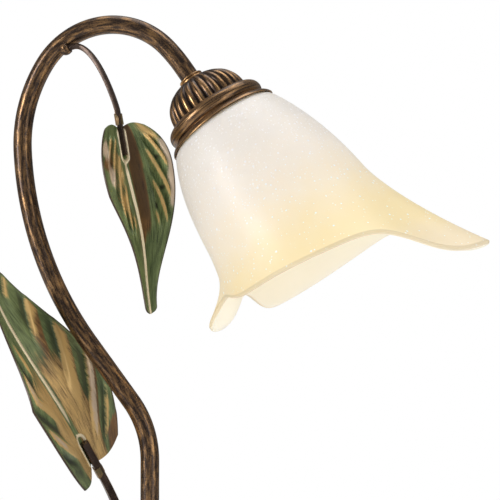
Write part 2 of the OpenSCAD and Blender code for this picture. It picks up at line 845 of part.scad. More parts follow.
module glass_shade() {
  n = glass_cols;
  m = 2 * glass_last + 3;
  points = [
    for (k = [0:m - 1])
      for (j = [0:n - 1])
        let (
          a = glass_angle(j),
          q = glass_row(k),
          o = glass_outer(glass_last, a),
          w = glass_inner(glass_last, a),
          along = unit(o - glass_outer(glass_last - 1, a)),
          p = q[0] == 0 ? glass_outer(q[1], a) : q[0] == 1 ? glass_inner(q[1], a) : (o + w) / 2 + along * glass_wall * 0.4
        )
        [p[0] * cos(a), p[0] * sin(a), p[1]]
  ];
  color(milk_glass)
    at_head()
      polyhedron(
        points = points,
        faces = [
          for (i = [0:m - 1])
            for (j = [0:n - 1])
              let (a = i * n + j, b = i * n + (j + 1) % n, c = ((i + 1) % m) * n + (j + 1) % n, d = ((i + 1) % m) * n + j)
              for (f = [[a, c, b], [a, d, c]]) f
        ]
      );
}

module shade_gasket() {
  color([0.85, 0.84, 0.8])
    head_turned([
      [glass_hole_r + 0.7, glass_floor_t], [clamp_r - 0.5, glass_floor_t],
      [clamp_r - 0.5, glass_floor_t + gasket_t], [glass_hole_r + 0.7, glass_floor_t + gasket_t]
    ]);
}

module shade_ring() {
  color(dark_plastic)
    head_turned([
      [skirt_r + screw_gap, clamp_t], [clamp_r - 0.6, clamp_t], [clamp_r, clamp_t + 0.6], [clamp_r, clamp_t + 2.2],
      [skirt_r + 3.2, clamp_t + 2.8], [skirt_r + 2.6, clamp_t + clamp_h], [skirt_r + screw_gap, clamp_t + clamp_h]
    ]);
}

// ---- Bulb ----

module bulb_pip() {
  color(brass)
    head_turned([[0, bulb_t], [1.8, bulb_t], [2.4, bulb_t + 0.8], [5.6, bulb_cap_t], [0, bulb_cap_t]]);
}

module bulb_cap() {
  color(steel)
    head_turned([
      [0, bulb_cap_t], [5.6, bulb_cap_t], [cap_r, bulb_cap_t + 1.6], [cap_r, bulb_neck_t],
      [cap_r - 0.6, bulb_neck_t], [cap_r - 0.6, bulb_cap_t + 2.2], [5.1, bulb_cap_t + 1], [0, bulb_cap_t + 1]
    ]);
}

// Blown globe, d deep inside the glass
function globe(d) =
  let (r = bulb_d / 2, neck_a = asin(8.5 / r))
  concat(
    [[cap_r - d, bulb_neck_t], [cap_r + 0.6 - d, bulb_neck_t + 3]],
    [for (a = [180 - neck_a:-(180 - neck_a) / 20:0.1]) [(r - d) * sin(a), bulb_centre_t + (r - d) * cos(a)]],
    [[0, bulb_centre_t + r - d]]
  );

module bulb_glass() {
  outer = globe(0);
  inner = globe(bulb_wall);
  color([0.97, 0.96, 0.9])
    head_turned(concat(outer, [for (i = [len(inner) - 1:-1:0]) inner[i]]));
}

felt_pad();
bottom_plate();
base_ballast();
base_cover();
cord_bush();
foot_collar();
stem_nipple();
base_washer();
base_nut();
stem_tube();
lower_stalk();
lower_braze();
lower_leaf();
lower_tongue();
upper_stalk();
upper_braze();
upper_leaf();
upper_tongue();
cup_neck();
cup_dome();
gallery_ring();
head_nipple();
head_nut();
holder_cap();
holder_body();
screw_shell();
centre_contact();
gallery_gasket();
glass_shade();
shade_gasket();
shade_ring();
bulb_pip();
bulb_cap();
bulb_glass();
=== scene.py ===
from math import asin, atan2, cos, degrees, exp, floor, hypot, pi, radians, sin, sqrt, tan

import bpy
from mathutils import Euler, Matrix, Vector, noise


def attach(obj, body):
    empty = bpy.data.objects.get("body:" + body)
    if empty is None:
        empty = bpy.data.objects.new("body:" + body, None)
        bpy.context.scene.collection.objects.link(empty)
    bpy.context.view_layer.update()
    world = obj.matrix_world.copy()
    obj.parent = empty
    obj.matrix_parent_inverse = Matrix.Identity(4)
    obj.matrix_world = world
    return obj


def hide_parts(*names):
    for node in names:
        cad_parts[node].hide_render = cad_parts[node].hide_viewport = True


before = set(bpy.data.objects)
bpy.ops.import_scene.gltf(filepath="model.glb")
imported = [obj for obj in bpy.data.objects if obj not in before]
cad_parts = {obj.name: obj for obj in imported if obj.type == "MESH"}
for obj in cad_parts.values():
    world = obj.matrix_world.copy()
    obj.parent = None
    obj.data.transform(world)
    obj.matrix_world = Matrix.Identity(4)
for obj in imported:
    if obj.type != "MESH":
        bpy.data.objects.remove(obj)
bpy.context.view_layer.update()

# ---- Camera ----
# A long lens a little below the middle of the lamp, looking slightly up at the bend of the stem.
# The view is the one from the front right of the stem, so that the shade points to the right.

camera_place = Vector((0.55669, -1.83184, 0.20401))
camera_target = Vector((0.06585, 0.0, 0.320))
camera_lens = 216.3

scene = bpy.context.scene
scene.view_settings.view_transform = "Standard"
bpy.ops.object.select_all(action="DESELECT")
bpy.ops.object.camera_add(location=camera_place)
camera = bpy.context.object
camera.rotation_euler = (camera_target - camera_place).to_track_quat("-Z", "Y").to_euler()
camera.data.lens = camera_lens
camera.data.sensor_width = 36
camera.data.clip_end = 100
scene.camera = camera


# ---- Base: felt, closing plate, ballast and their screws ----
# A felt disc is glued under a zinc-plated steel plate, which closes the hollow cover from below.
# The cast-iron ballast fills the cover, and a nipple, a washer and a hexagon nut pull the stem down on it.

def paint(red, green, blue):
    """Colour written as on a paint card, 0 to 255, as the shader wants it."""
    shares = [c / 255 for c in (red, green, blue)]
    return tuple(c / 12.92 if c <= 0.04 else ((c + 0.055) / 1.055) ** 2.4 for c in shares) + (1,)


class Wiring:
    """Short ways to place nodes in a tree and to join them."""

    def __init__(self, tree):
        self.tree, self.nodes, self.links = tree, tree.nodes, tree.links

    def node(self, kind, settings=None, **inputs):
        made = self.nodes.new(kind)
        for key, value in (settings or {}).items():
            setattr(made, key, value)
        for socket, value in inputs.items():
            self.feed(made, socket.replace("_", " "), value)
        return made

    def feed(self, to, socket, value):
        target = to.inputs[socket]
        if isinstance(value, bpy.types.NodeSocket):
            self.links.new(value, target)
        else:
            target.default_value = value

    def group(self, effect, **inputs):
        made = self.node("ShaderNodeGroup", {"node_tree": effect.tree})
        for socket, value in inputs.items():
            self.feed(made, socket.replace("_", " "), value)
        return made.outputs

    def blend(self, share, low, high):
        mix = self.node("ShaderNodeMix", {"data_type": "RGBA"})
        for index, value in ((0, share), (6, low), (7, high)):
            self.feed(mix, index, value)
        return mix.outputs[2]

    def math(self, operation, *values, clamp=False):
        made = self.node("ShaderNodeMath", {"operation": operation, "use_clamp": clamp})
        for index, value in enumerate(values):
            self.feed(made, index, value)
        return made.outputs[0]

    def steps(self, value, low, high, to_low=0.0, to_high=1.0):
        made = self.node("ShaderNodeMapRange", {"interpolation_type": "SMOOTHSTEP"}, Value=value, From_Min=low,
                         From_Max=high, To_Min=to_low, To_Max=to_high)
        return made.outputs["Result"]

    def noise(self, place, scale, detail=2.0, roughness=0.5, distortion=0.0):
        made = self.node("ShaderNodeTexNoise", Vector=place, Scale=scale, Detail=detail, Roughness=roughness,
                         Distortion=distortion)
        return made.outputs["Fac"]

    def stretched(self, place, x, y, z):
        parts = self.node("ShaderNodeSeparateXYZ", Vector=place).outputs
        scaled = [self.math("MULTIPLY", part, scale) for part, scale in zip(parts, (x, y, z))]
        return self.node("ShaderNodeCombineXYZ", X=scaled[0], Y=scaled[1], Z=scaled[2]).outputs[0]


class Effect(Wiring):
    """A node group that several finishes share: named inputs, and masks, colours or values out."""

    def __init__(self, name, **inputs):
        super().__init__(bpy.data.node_groups.new(name, "ShaderNodeTree"))
        for label, value in inputs.items():
            kind = "NodeSocketVector" if value is None else "NodeSocketFloat"
            socket = self.tree.interface.new_socket(name=label.replace("_", " "), in_out="INPUT", socket_type=kind)
            if value is not None:
                socket.default_value = value
        self.given = self.nodes.new("NodeGroupInput").outputs
        self.end = self.nodes.new("NodeGroupOutput")

    def gives(self, label, value, kind="NodeSocketFloat"):
        self.tree.interface.new_socket(name=label, in_out="OUTPUT", socket_type=kind)
        self.feed(self.end, label, value)


class Finish(Wiring):
    """One material: its Principled shader and the nodes that feed it."""

    def __init__(self, name, **sockets):
        self.material = bpy.data.materials.new(name)
        self.material.use_nodes = True
        super().__init__(self.material.node_tree)
        self.shader = self.nodes["Principled BSDF"]
        self.places = self.nodes.new("ShaderNodeTexCoord").outputs
        for socket, value in sockets.items():
            self.shader.inputs[socket.replace("_", " ")].default_value = value

    def bump(self, height, distance, strength=1.0):
        made = self.node("ShaderNodeBump", Height=height, Distance=distance, Strength=strength)
        self.feed(self.shader, "Normal", made.outputs["Normal"])

    def wear(self, socket, value):
        self.feed(self.shader, socket, value)

    def marks(self, label):
        """The four values that the points of a piece carry under this label."""
        mark = self.node("ShaderNodeAttribute", {"attribute_name": label})
        parts = self.node("ShaderNodeSeparateColor", Color=mark.outputs["Color"]).outputs
        return parts["Red"], parts["Green"], parts["Blue"], mark.outputs["Alpha"]


# Fine mottling in two sizes, for surfaces that are cast, moulded, plated or felted
mottle = Effect("mottle", Place=None, Scale=100.0)
patches = mottle.noise(mottle.given["Place"], mottle.given["Scale"], detail=4.0)
mottle.gives("Patches", mottle.steps(patches, 0.3, 0.7))
mottle.gives("Grain", mottle.noise(mottle.given["Place"], mottle.math("MULTIPLY", mottle.given["Scale"], 9.0)))


def mottled(name, dark, light, scale, rough, bump_depth, **sockets):
    """A finish of one colour family, mottled, with a fine grain that catches the light."""
    finish = Finish(name, **sockets)
    grain = finish.group(mottle, Place=finish.places["Object"], Scale=scale)
    finish.wear("Base Color", finish.blend(grain["Patches"], dark, light))
    finish.wear("Roughness", finish.steps(grain["Grain"], 0.3, 0.7, rough - 0.07, rough + 0.07))
    finish.bump(grain["Grain"], bump_depth)
    return finish.material


def dress(node, material):
    """Gives a CAD node that stays its own material."""
    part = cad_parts[node]
    if not part.material_slots:
        part.data.materials.append(material)
    for slot in part.material_slots:
        slot.material = material


felt_black = mottled("felt_black", paint(34, 31, 29), paint(56, 52, 48), 260, 0.95, 0.0006, Sheen_Weight=0.3)
zinc_plate = mottled("zinc_plate", paint(150, 152, 156), paint(190, 192, 196), 90, 0.33, 0.00002, Metallic=1.0)
iron_cast = mottled("iron_cast", paint(44, 44, 46), paint(70, 69, 68), 220, 0.7, 0.0003, Metallic=0.6)
dress("felt_pad", felt_black)
dress("bottom_plate", zinc_plate)
dress("base_ballast", iron_cast)
for small_steel in ("stem_nipple", "base_washer", "base_nut", "head_nipple"):
    dress(small_steel, zinc_plate)


# ---- Base cover and foot collar ----
# The cover is spun from steel sheet: an upright rim, a step, and two coves that rise to the crown.
# The turned collar sits on the crown round the foot of the tube. Both are lacquered brown and rubbed with gold.

def finish_piece(piece, name, body, material, slot, *nodes):
    """Name, material, body and replaced nodes of a new piece; the slot argument is not used."""
    piece.name = name
    piece.data.name = name
    piece.data.materials.clear()
    piece.data.materials.append(material)
    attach(piece, body)
    if nodes:
        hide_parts(*nodes)


def smooth_below(angle):
    """Smooth shading of the active piece, but for edges sharper than this angle in degrees."""
    bpy.ops.object.shade_smooth_by_angle(angle=radians(angle))


def mend_mesh(weld=False, close=False, face_out=True):
    """Welds the seams of the active piece, closes its open ends, and turns its faces outwards."""
    bpy.ops.object.mode_set(mode="EDIT")
    bpy.ops.mesh.select_all(action="SELECT")
    if weld:
        bpy.ops.mesh.remove_doubles(threshold=0.000002)
    if close:
        bpy.ops.mesh.fill_holes(sides=0)
    if face_out:
        bpy.ops.mesh.normals_make_consistent(inside=False)
    bpy.ops.object.mode_set(mode="OBJECT")


def turn_profile(profile, around=96, place=None):
    """Closed lathe form: a circle is extruded and scaled from ring to ring through (radius, height) in millimetres."""
    bpy.ops.object.select_all(action="DESELECT")
    first_r, first_z = profile[0]
    bpy.ops.mesh.primitive_circle_add(vertices=around, radius=first_r / 1000, location=(0, 0, 0))
    piece = bpy.context.object
    piece.data.transform(Matrix.Translation((0, 0, first_z / 1000)))
    bpy.ops.object.mode_set(mode="EDIT")
    bpy.ops.mesh.select_all(action="SELECT")
    for (r0, z0), (r1, z1) in zip(profile, profile[1:]):
        bpy.ops.mesh.extrude_region_move(TRANSFORM_OT_translate={"value": (0, 0, (z1 - z0) / 1000)})
        bpy.ops.transform.resize(value=(r1 / r0, r1 / r0, 1), center_override=(0, 0, z1 / 1000))
    bpy.ops.object.mode_set(mode="OBJECT")
    mend_mesh(weld=True)
    lay_turned_map(piece, profile, around)
    if place is not None:
        piece.data.transform(place)
    smooth_below(38)
    return piece


def lay_turned_map(piece, profile, around):
    """UV map of a turned piece in metres: round the girth, and along the profile."""
    lengths = [0.0]
    for (r0, z0), (r1, z1) in zip(profile, profile[1:]):
        lengths.append(lengths[-1] + hypot(r1 - r0, z1 - z0) / 1000)
    girth = 2 * pi * max(r for r, z in profile) / 1000
    uv = (piece.data.uv_layers[0] if piece.data.uv_layers else piece.data.uv_layers.new(name="UVMap")).data

    def along(point):
        r, z = hypot(point.x, point.y) * 1000, point.z * 1000
        return min(range(len(profile)), key=lambda i: (profile[i][0] - r) ** 2 + (profile[i][1] - z) ** 2)

    rows = [lengths[along(v.co)] for v in piece.data.vertices]
    turns = [atan2(v.co.y, v.co.x) / (2 * pi) for v in piece.data.vertices]
    for face in piece.data.polygons:
        centre = atan2(face.center.y, face.center.x) / (2 * pi)
        for loop in face.loop_indices:
            corner = piece.data.loops[loop].vertex_index
            turn = turns[corner]
            turn -= round(turn - centre)
            uv[loop].uv = (turn * girth, rows[corner])


# Gold rubbed over a dark lacquer with a dry brush: streaks along one direction, broken by flecks and clouds
gold_rub = Effect("gold_rub", Place=None, Long=40.0, Cross=600.0, Amount=0.5)
rub_given = gold_rub.given
rub_place = gold_rub.stretched(rub_given["Place"], rub_given["Cross"], rub_given["Long"], rub_given["Cross"])
rub_streaks = gold_rub.noise(rub_place, 1.0, detail=5.0, roughness=0.62)
rub_flecks = gold_rub.noise(rub_given["Place"], 1100.0)
rub_clouds = gold_rub.noise(rub_given["Place"], 70.0)
rub_height = gold_rub.math("MULTIPLY_ADD", rub_flecks, 0.3, rub_streaks)
rub_level = gold_rub.math("MULTIPLY_ADD", rub_clouds, 0.22, rub_height)
rub_level = gold_rub.math("MULTIPLY_ADD", rub_given["Amount"], 0.62, rub_level)
gold_rub.gives("Gold", gold_rub.steps(rub_level, 0.92, 1.34))
gold_rub.gives("Glow", gold_rub.steps(rub_level, 1.16, 1.5))
gold_rub.gives("Height", rub_height)

lacquer_brown = paint(70, 56, 48)
lacquer_dark = paint(54, 44, 39)
rubbed_gold = paint(190, 146, 98)
bright_gold = paint(246, 208, 146)


def rubbed_bronze(name, amount, long_scale=40.0, cross_scale=600.0, uv=True, **sockets):
    """Brown lacquer rubbed with gold; amount is a number, or a function that says how much where."""
    finish = Finish(name, Specular_IOR_Level=0.35, **sockets)
    share = amount(finish) if callable(amount) else amount
    place = finish.places["UV" if uv else "Object"]
    rub = finish.group(gold_rub, Place=place, Long=long_scale, Cross=cross_scale, Amount=share)
    grain = finish.group(mottle, Place=finish.places["Object"], Scale=150.0)
    brown = finish.blend(grain["Patches"], lacquer_dark, lacquer_brown)
    gold = finish.blend(rub["Glow"], rubbed_gold, bright_gold)
    finish.wear("Base Color", finish.blend(rub["Gold"], brown, gold))
    finish.wear("Metallic", finish.steps(rub["Gold"], 0.0, 1.0, 0.65, 0.92))
    finish.wear("Roughness", finish.steps(rub["Height"], 0.4, 0.9, 0.23, 0.36))
    finish.bump(rub["Height"], 0.00003)
    return finish.material


base_radius = 78.0
base_rim_top = 14.0
base_step_radius = base_radius - 7
base_step_top = base_rim_top + 3
base_crown = 35.0
crown_radius = 16.5
cove_radius = base_radius / 2
cove_top = base_step_top + (base_crown - base_step_top) * 0.42
rim_edge, cover_sheet, nipple_hole_r = 1.5, 1.5, 5.1


def arc(r, z, across, up, angles):
    """Points of a round or oval arc about (r, z), at the given angles in degrees."""
    return [(r + across * cos(radians(a)), z + up * sin(radians(a))) for a in angles]


def cover_profile(deep):
    """Outline of the spun sheet from the rim to the crown, deep millimetres inside it."""
    edge = rim_edge - deep * 0.4
    step_r, step_z = base_step_radius - deep, base_step_top - deep
    outline = [(base_radius - deep, 2.0), (base_radius - deep, base_rim_top - rim_edge - deep * 0.4)]
    outline += arc(base_radius - rim_edge - deep * 0.6, base_rim_top - rim_edge - deep * 0.6, edge, edge,
                   range(10, 91, 10))
    outline += [(step_r + 0.6, base_rim_top - deep), (step_r, base_rim_top + 0.5 - deep)]
    outline += [(step_r, step_z - 0.8), (step_r - 0.7, step_z)]
    outline += arc(base_step_radius - 2 - deep * 0.3, cove_top - deep, base_step_radius - 2 - cove_radius,
                   cove_top - base_step_top, range(265, 179, -5))
    outline += [
        (cove_radius - (cove_radius - crown_radius) * sin(radians(a)) - deep * 0.3 * cos(radians(a)),
         cove_top + (base_crown - cove_top) * sin(radians(a)) - deep)
        for a in range(5, 91, 5)
    ]
    return outline


outside = cover_profile(0)
inside = cover_profile(cover_sheet)
top_hole = [(nipple_hole_r, base_crown), (nipple_hole_r, base_crown - cover_sheet)]
base_bronze = rubbed_bronze("base_bronze", 0.34, long_scale=420.0, cross_scale=34.0)
cover = turn_profile(outside + top_hole + inside[::-1] + outside[:1], around=160)
finish_piece(cover, "base_cover_spun", "lamp", base_bronze, "bronze_lacquer", "base_cover")

collar_r, collar_h, tube_r = 13.5, 13.0, 6.0
collar_bore = tube_r + 0.05
roll_r = 1.6
waist = collar_r - 2 * roll_r
collar_profile = [(collar_bore, 0), (collar_r - 0.3, 0), (collar_r, 0.3), (collar_r, 1.8), (collar_r - 0.3, 2.1)]
collar_profile += arc(waist, 2.4, roll_r, roll_r, range(0, 91, 10))
collar_profile += arc(waist, collar_h - 2.5, waist - tube_r - 2, collar_h - 6.5, range(270, 179, -10))
collar_profile += arc(tube_r + 0.8, collar_h - 1.2, 1.2, 1.2, range(-60, 91, 12))
collar_profile += [(collar_bore, collar_h), (collar_bore, 0)]
collar = turn_profile(collar_profile, around=96, place=Matrix.Translation((0, 0, base_crown / 1000)))
finish_piece(collar, "foot_collar_turned", "lamp", base_bronze, "bronze_lacquer", "foot_collar")


# ---- Cord inlet ----
# A black moulded bush snaps into the back of the cover, with a flange outside and a lip inside.
# It is empty: the lamp is shown without its cord.

bush_profile = [(3.2, -4.5), (4.0, -4.5), (4.0, 0.1), (5.2, 0.1), (5.2, 1.2), (4.9, 1.8), (4.2, 2.2), (3.8, 2.2),
                (3.4, 2.0), (3.2, 1.6), (3.2, -4.5)]
bush_place = Matrix.Translation((-base_radius / 1000, 0, 0.0074)) @ Matrix.Rotation(radians(-90), 4, "Y")
plastic_black = mottled("plastic_black", paint(24, 24, 25), paint(34, 34, 35), 300, 0.5, 0.00004)
bush = turn_profile(bush_profile, around=48, place=bush_place)
finish_piece(bush, "cord_bush_moulded", "lamp", plastic_black, "black_plastic", "cord_bush")


# ---- Stem ----
# One steel tube of 12 mm, bent cold: an upright, a low bend, a slope, and a long curve that tightens over the top.
# The brown lacquer is rubbed with gold along its length.

stem_steps = [(152.0, 0), (62.5, 37), (47.5, 0), (-226.0, 34), (-94.0, 35.7), (-52.8, 103.1), (-110.0, 9), (9.8, 0)]
stem_wall = 1.0


def step_end(x, z, heading, size, turn, gone):
    """Point and heading after gone millimetres of a straight step (turn 0) or of a bend of radius size."""
    if turn == 0:
        return x + gone * cos(radians(heading)), z + gone * sin(radians(heading)), heading
    after = heading + degrees(gone / size)
    return (x + size * (sin(radians(after)) - sin(radians(heading))),
            z - size * (cos(radians(after)) - cos(radians(heading))), after)


def stem_walk():
    """Start, heading and length of each step of the bent tube, in millimetres."""
    x, z, heading, passed, walk = 0.0, base_crown, 90.0, 0.0, []
    for size, turn in stem_steps:
        length = size if turn == 0 else abs(size) * radians(turn)
        walk.append((x, z, heading, passed, length, size, turn))
        x, z, heading = step_end(x, z, heading, size, turn, length)
        passed += length
    return walk, passed


stem_parts, stem_length = stem_walk()


def stem_at(distance):
    """Point and heading on the tube's axis, distance millimetres from its foot."""
    for x, z, heading, passed, length, size, turn in stem_parts:
        if distance <= passed + length + 1e-6:
            break
    return step_end(x, z, heading, size, turn, distance - passed)


def shaped_grid(around, along, point, wrap=False):
    """A grid primitive bent into shape: point(u, v) gives the place in millimetres for u and v from 0 to 1."""
    bpy.ops.object.select_all(action="DESELECT")
    bpy.ops.mesh.primitive_grid_add(x_subdivisions=around, y_subdivisions=along, size=1, calc_uvs=True)
    piece = bpy.context.object
    for vertex in piece.data.vertices:
        vertex.co = Vector(point(vertex.co.x + 0.5, vertex.co.y + 0.5)) / 1000
    if wrap:
        mend_mesh(weld=True, face_out=False)
    return piece


def lay_map(piece, place):
    """Lays the UV map of a grid anew: place(u, v) gives metres for its shares from 0 to 1."""
    for corner in piece.data.uv_layers[0].data:
        corner.uv = place(corner.uv.x, corner.uv.y)


def give_wall(piece, thickness, offset, even=True):
    """Turns a skin into sheet of real thickness."""
    wall = piece.modifiers.new("wall", "SOLIDIFY")
    wall.thickness = thickness / 1000
    wall.offset = offset
    wall.use_even_offset = even
    wall.use_rim = True
    bpy.context.view_layer.objects.active = piece
    bpy.ops.object.modifier_apply(modifier="wall")


def tube_point(u, v):
    x, z, heading = stem_at(v * stem_length)
    a = 2 * pi * u
    out = Vector((sin(radians(heading)), 0, -cos(radians(heading))))
    return Vector((x, 0, z)) + (tube_r - 0.03) * (cos(a) * out + Vector((0, sin(a), 0)))


stem = shaped_grid(48, 420, tube_point, wrap=True)
lay_map(stem, lambda u, v: (u * 2 * pi * tube_r / 1000, v * stem_length / 1000))
give_wall(stem, stem_wall, -1)
smooth_below(40)

stem_bronze = rubbed_bronze("stem_bronze", 0.42, long_scale=90.0, cross_scale=620.0)
finish_piece(stem, "stem_bent_tube", "lamp", stem_bronze, "bronze_lacquer", "stem_tube")


# ---- Stalks and braze ----
# A square bar, bent to a free curve, carries each leaf; its end lies in the fold of the leaf.
# The other end is brazed to the tube with a lump of brass.

leaf_sheet = 1.0
bar_reach = 17.0
tongue_length = 11.0
bar_girth = 0.016


class LeafPlace:
    """Where a leaf lies, its bar and its fold: the frame has +X to the point and +Z to the front."""

    def __init__(self, place, turn, fold, bar_side):
        self.frame = Matrix.Translation(place) @ Euler([radians(a) for a in turn], "XYZ").to_matrix().to_4x4()
        self.bar_half = bar_side * sqrt(2) / 2
        self.lift = self.bar_half + leaf_sheet / 2 / cos(radians(fold)) + 0.15
        self.off_tube = tube_r + self.bar_half + 0.15

    def bar_point(self, x):
        return self.frame @ Vector((x, 0, self.lift))

    def up(self):
        return self.frame.to_3x3() @ Vector((0, 0, 1))


upper_place = LeafPlace((-16.3, -16, 396.8), (51.4, 79.9, 1.5), 41, 3.2)
lower_place = LeafPlace((-46.7, 21, 184.4), (-77.6, -51.4, 245.7), 20, 5.0)


def stalk_route(start, lead, place, reach, count=70):
    """Points of a bar: a free curve from the braze, then straight into the leaf."""
    join, ahead = place.bar_point(-tongue_length - 1), place.bar_point(-tongue_length - 1 - reach)
    knots = (start, start + lead, ahead, join)
    route = []
    for i in range(count):
        t = i / count
        shares = ((1 - t) ** 3, 3 * t * (1 - t) ** 2, 3 * t * t * (1 - t), t ** 3)
        route.append(sum((share * knot for share, knot in zip(shares, knots)), Vector()))
    last = place.bar_point(bar_reach)
    return route + [join.lerp(last, i / 24) for i in range(25)]


def square_bar(route, place, corner=0.5):
    """A bar with softly rounded arrises, one of them towards up, with closed ends."""
    section = []
    for k in range(4):
        for step in range(6):
            a = radians(90 * k - 45 + 18 * step)
            middle = (place.bar_half - corner * sqrt(2)) * Vector((cos(radians(90 * k)), sin(radians(90 * k))))
            section.append(middle + corner * Vector((cos(a), sin(a))))
    section.append(section[0])

    def point(u, v):
        i = round(v * (len(route) - 1))
        along = (route[min(len(route) - 1, i + 1)] - route[max(0, i - 1)]).normalized()
        side = along.cross(place.up()).normalized()
        out = side.cross(along)
        across = section[round(u * 24)]
        return route[i] + across.x * out + across.y * side

    bar = shaped_grid(24, len(route) - 1, point, wrap=True)
    length = sum((b - a).length for a, b in zip(route, route[1:])) / 1000
    lay_map(bar, lambda u, v: (u * bar_girth, v * length))
    mend_mesh(close=True)
    smooth_below(30)
    return bar


def arris_rub(finish):
    """Gold on the four arrises of the bar, where a brush or a hand rubs it."""
    turn = finish.node("ShaderNodeSeparateXYZ", Vector=finish.places["UV"]).outputs["X"]
    wave = finish.math("COSINE", finish.math("MULTIPLY_ADD", turn, 8 * pi / bar_girth, -1.3))
    return finish.steps(wave, 0.55, 1.0, 0.1, 0.5)


stalk_bronze = rubbed_bronze("stalk_bronze", arris_rub, long_scale=60.0, cross_scale=700.0)

arch_step = 5
arch_passed, arch_radius = stem_parts[arch_step][3], -stem_steps[arch_step][0]
high_x, high_z, high_heading = stem_at(arch_passed + arch_radius * radians(22.7))
high_out = Vector((sin(radians(high_heading)) * cos(radians(36)), -sin(radians(36)),
                   -cos(radians(high_heading)) * cos(radians(36))))
high_axis = Vector((high_x, 0, high_z))
upper_route = stalk_route(high_axis + upper_place.off_tube * high_out, Vector((16.6, -1, 9)), upper_place, 3)
upper_bar = square_bar(upper_route, upper_place)
finish_piece(upper_bar, "upper_stalk_bar", "lamp", stalk_bronze, "bronze_lacquer", "upper_stalk")

low_out = Vector((cos(radians(150)), sin(radians(150)), 0))
low_axis = Vector((0, 0, 78))
lower_route = stalk_route(low_axis + lower_place.off_tube * low_out, Vector((0, 0, 45)), lower_place, 30)
lower_bar = square_bar(lower_route, lower_place)
finish_piece(lower_bar, "lower_stalk_bar", "lamp", stalk_bronze, "bronze_lacquer", "lower_stalk")


def braze_lump(axis_point, axis_way, out, route, radius):
    """A lump that has run between the tube and the end of the bar: it stops at both of their faces."""
    away = (route[1] - route[0]).normalized()
    middle = axis_point + out * (tube_r + 1.2) - away * 1.7
    bpy.ops.object.select_all(action="DESELECT")
    bpy.ops.mesh.primitive_ico_sphere_add(subdivisions=5, radius=radius, location=(0, 0, 0))
    lump = bpy.context.object
    for vertex in lump.data.vertices:
        ripple = 1 + 0.09 * noise.noise(vertex.co * 0.45) + 0.03 * noise.noise(vertex.co * 1.5)
        stretch = 1 + 0.16 * abs(vertex.co.normalized().dot(axis_way))
        point = middle + vertex.co * ripple * stretch
        past_end = (point - route[0]).dot(away) + 0.02
        if past_end > 0:
            point -= past_end * away
        from_axis = point - axis_point
        from_axis -= from_axis.dot(axis_way) * axis_way
        if from_axis.length < tube_r + 0.05:
            point += from_axis.normalized() * (tube_r + 0.05 - from_axis.length)
        vertex.co = point / 1000
    smooth_below(50)
    return lump


braze_brown = rubbed_bronze("braze_brown", 0.42, long_scale=300.0, cross_scale=300.0, uv=False)
high_way = Vector((cos(radians(high_heading)), 0, sin(radians(high_heading))))
upper_lump = braze_lump(high_axis, high_way, high_out, upper_route, 4.1)
finish_piece(upper_lump, "upper_braze_lump", "lamp", braze_brown, "bronze_lacquer", "upper_braze")
lower_lump = braze_lump(low_axis, Vector((0, 0, 1)), low_out, lower_route, 3.9)
finish_piece(lower_lump, "lower_braze_lump", "lamp", braze_brown, "bronze_lacquer", "lower_braze")


# ---- Leaves ----
# Each leaf is stamped from sheet: folded along a raised midrib, with a hollow for the bar and a rolled heart end.
# The upper one has short bumps on both halves; the lower one is pleated by long veins that fan out from the midrib.
# The green patina is brushed with gold and a greyish pink on what stands proud, and brown where it lies deep. Part of
# that gold and pink is painted highlight, and the dark patches beside the bumps and in the hollows are painted shade.

class LeafForm:
    """Sizes of one leaf in millimetres and shares; each half is (half width, belly, draw)."""

    def __init__(self, length, left, right, side_bow, front_bow, fold, tip, heart, lobe, wave):
        self.length, self.left, self.right = length, left, right
        self.side_bow, self.front_bow, self.fold = side_bow, front_bow, fold
        self.tip, self.heart, self.lobe, self.wave = tip, heart, lobe, wave

    def half_width(self, s, v):
        width, belly, draw = self.left if v < 0 else self.right
        if s < belly:
            return width * sqrt(max(0, 1 - ((belly - s) / belly) ** 2 * self.heart))
        taper = self.tip + (1 - self.tip) * (0.5 + 0.5 * cos(pi * ((s - belly) / (1 - belly)) ** draw))
        return width * taper * sqrt(max(0, 1 - (max(0, (s - 0.965) / 0.0352)) ** 2))

    def point(self, s, v, bar_half):
        """Place on the middle of the sheet, how deep or proud it is stamped there (-1 to 1), its rib and tints."""
        x = (s - self.lobe * sin(pi * abs(v)) * (1 - s) ** 4) * self.length
        after_bar = max(0, (s - 0.14) / 0.86)
        swing = sin(pi * after_bar) ** 2
        fold = radians(self.fold + 9 * s)
        d = abs(v) * self.half_width(s, v)
        lift = d * tan(fold) * (1 - 0.18 * abs(v))
        wave, level, tints = self.wave(s, v)
        rib = 1.3 * max(0, 1 - d / (2.4 - 1.2 * s)) * min(1, after_bar * 9)
        from_bar = abs(d) if x < bar_reach + 1 else hypot(x - bar_reach - 1, d)
        sheath = 1.1 * exp(-(from_bar - bar_half - 0.95) ** 2) * min(1, max(0, (x + 2) / 4)) * (x < bar_reach + 7)
        y = self.side_bow * swing + (1 if v > 0 else -1) * d * cos(fold)
        z = self.front_bow * swing + lift * cos(fold) + wave + rib + sheath
        return Vector((x, y, z)), level, min(1.0, rib / 0.7 + sheath), tints


def ramp(value, low, high):
    t = min(1.0, max(0.0, (value - low) / (high - low)))
    return t * t * (3 - 2 * t)


def band(value, low, full, still_full, high):
    """Rises from low to full and falls again from still_full to high."""
    return ramp(value, low, full) * (1 - ramp(value, still_full, high))


def spot(s, v, at_s, at_v, long, wide):
    """A soft patch on the leaf, 1 in its middle."""
    return exp(-((s - at_s) / long) ** 2 - ((v - at_v) / wide) ** 2)


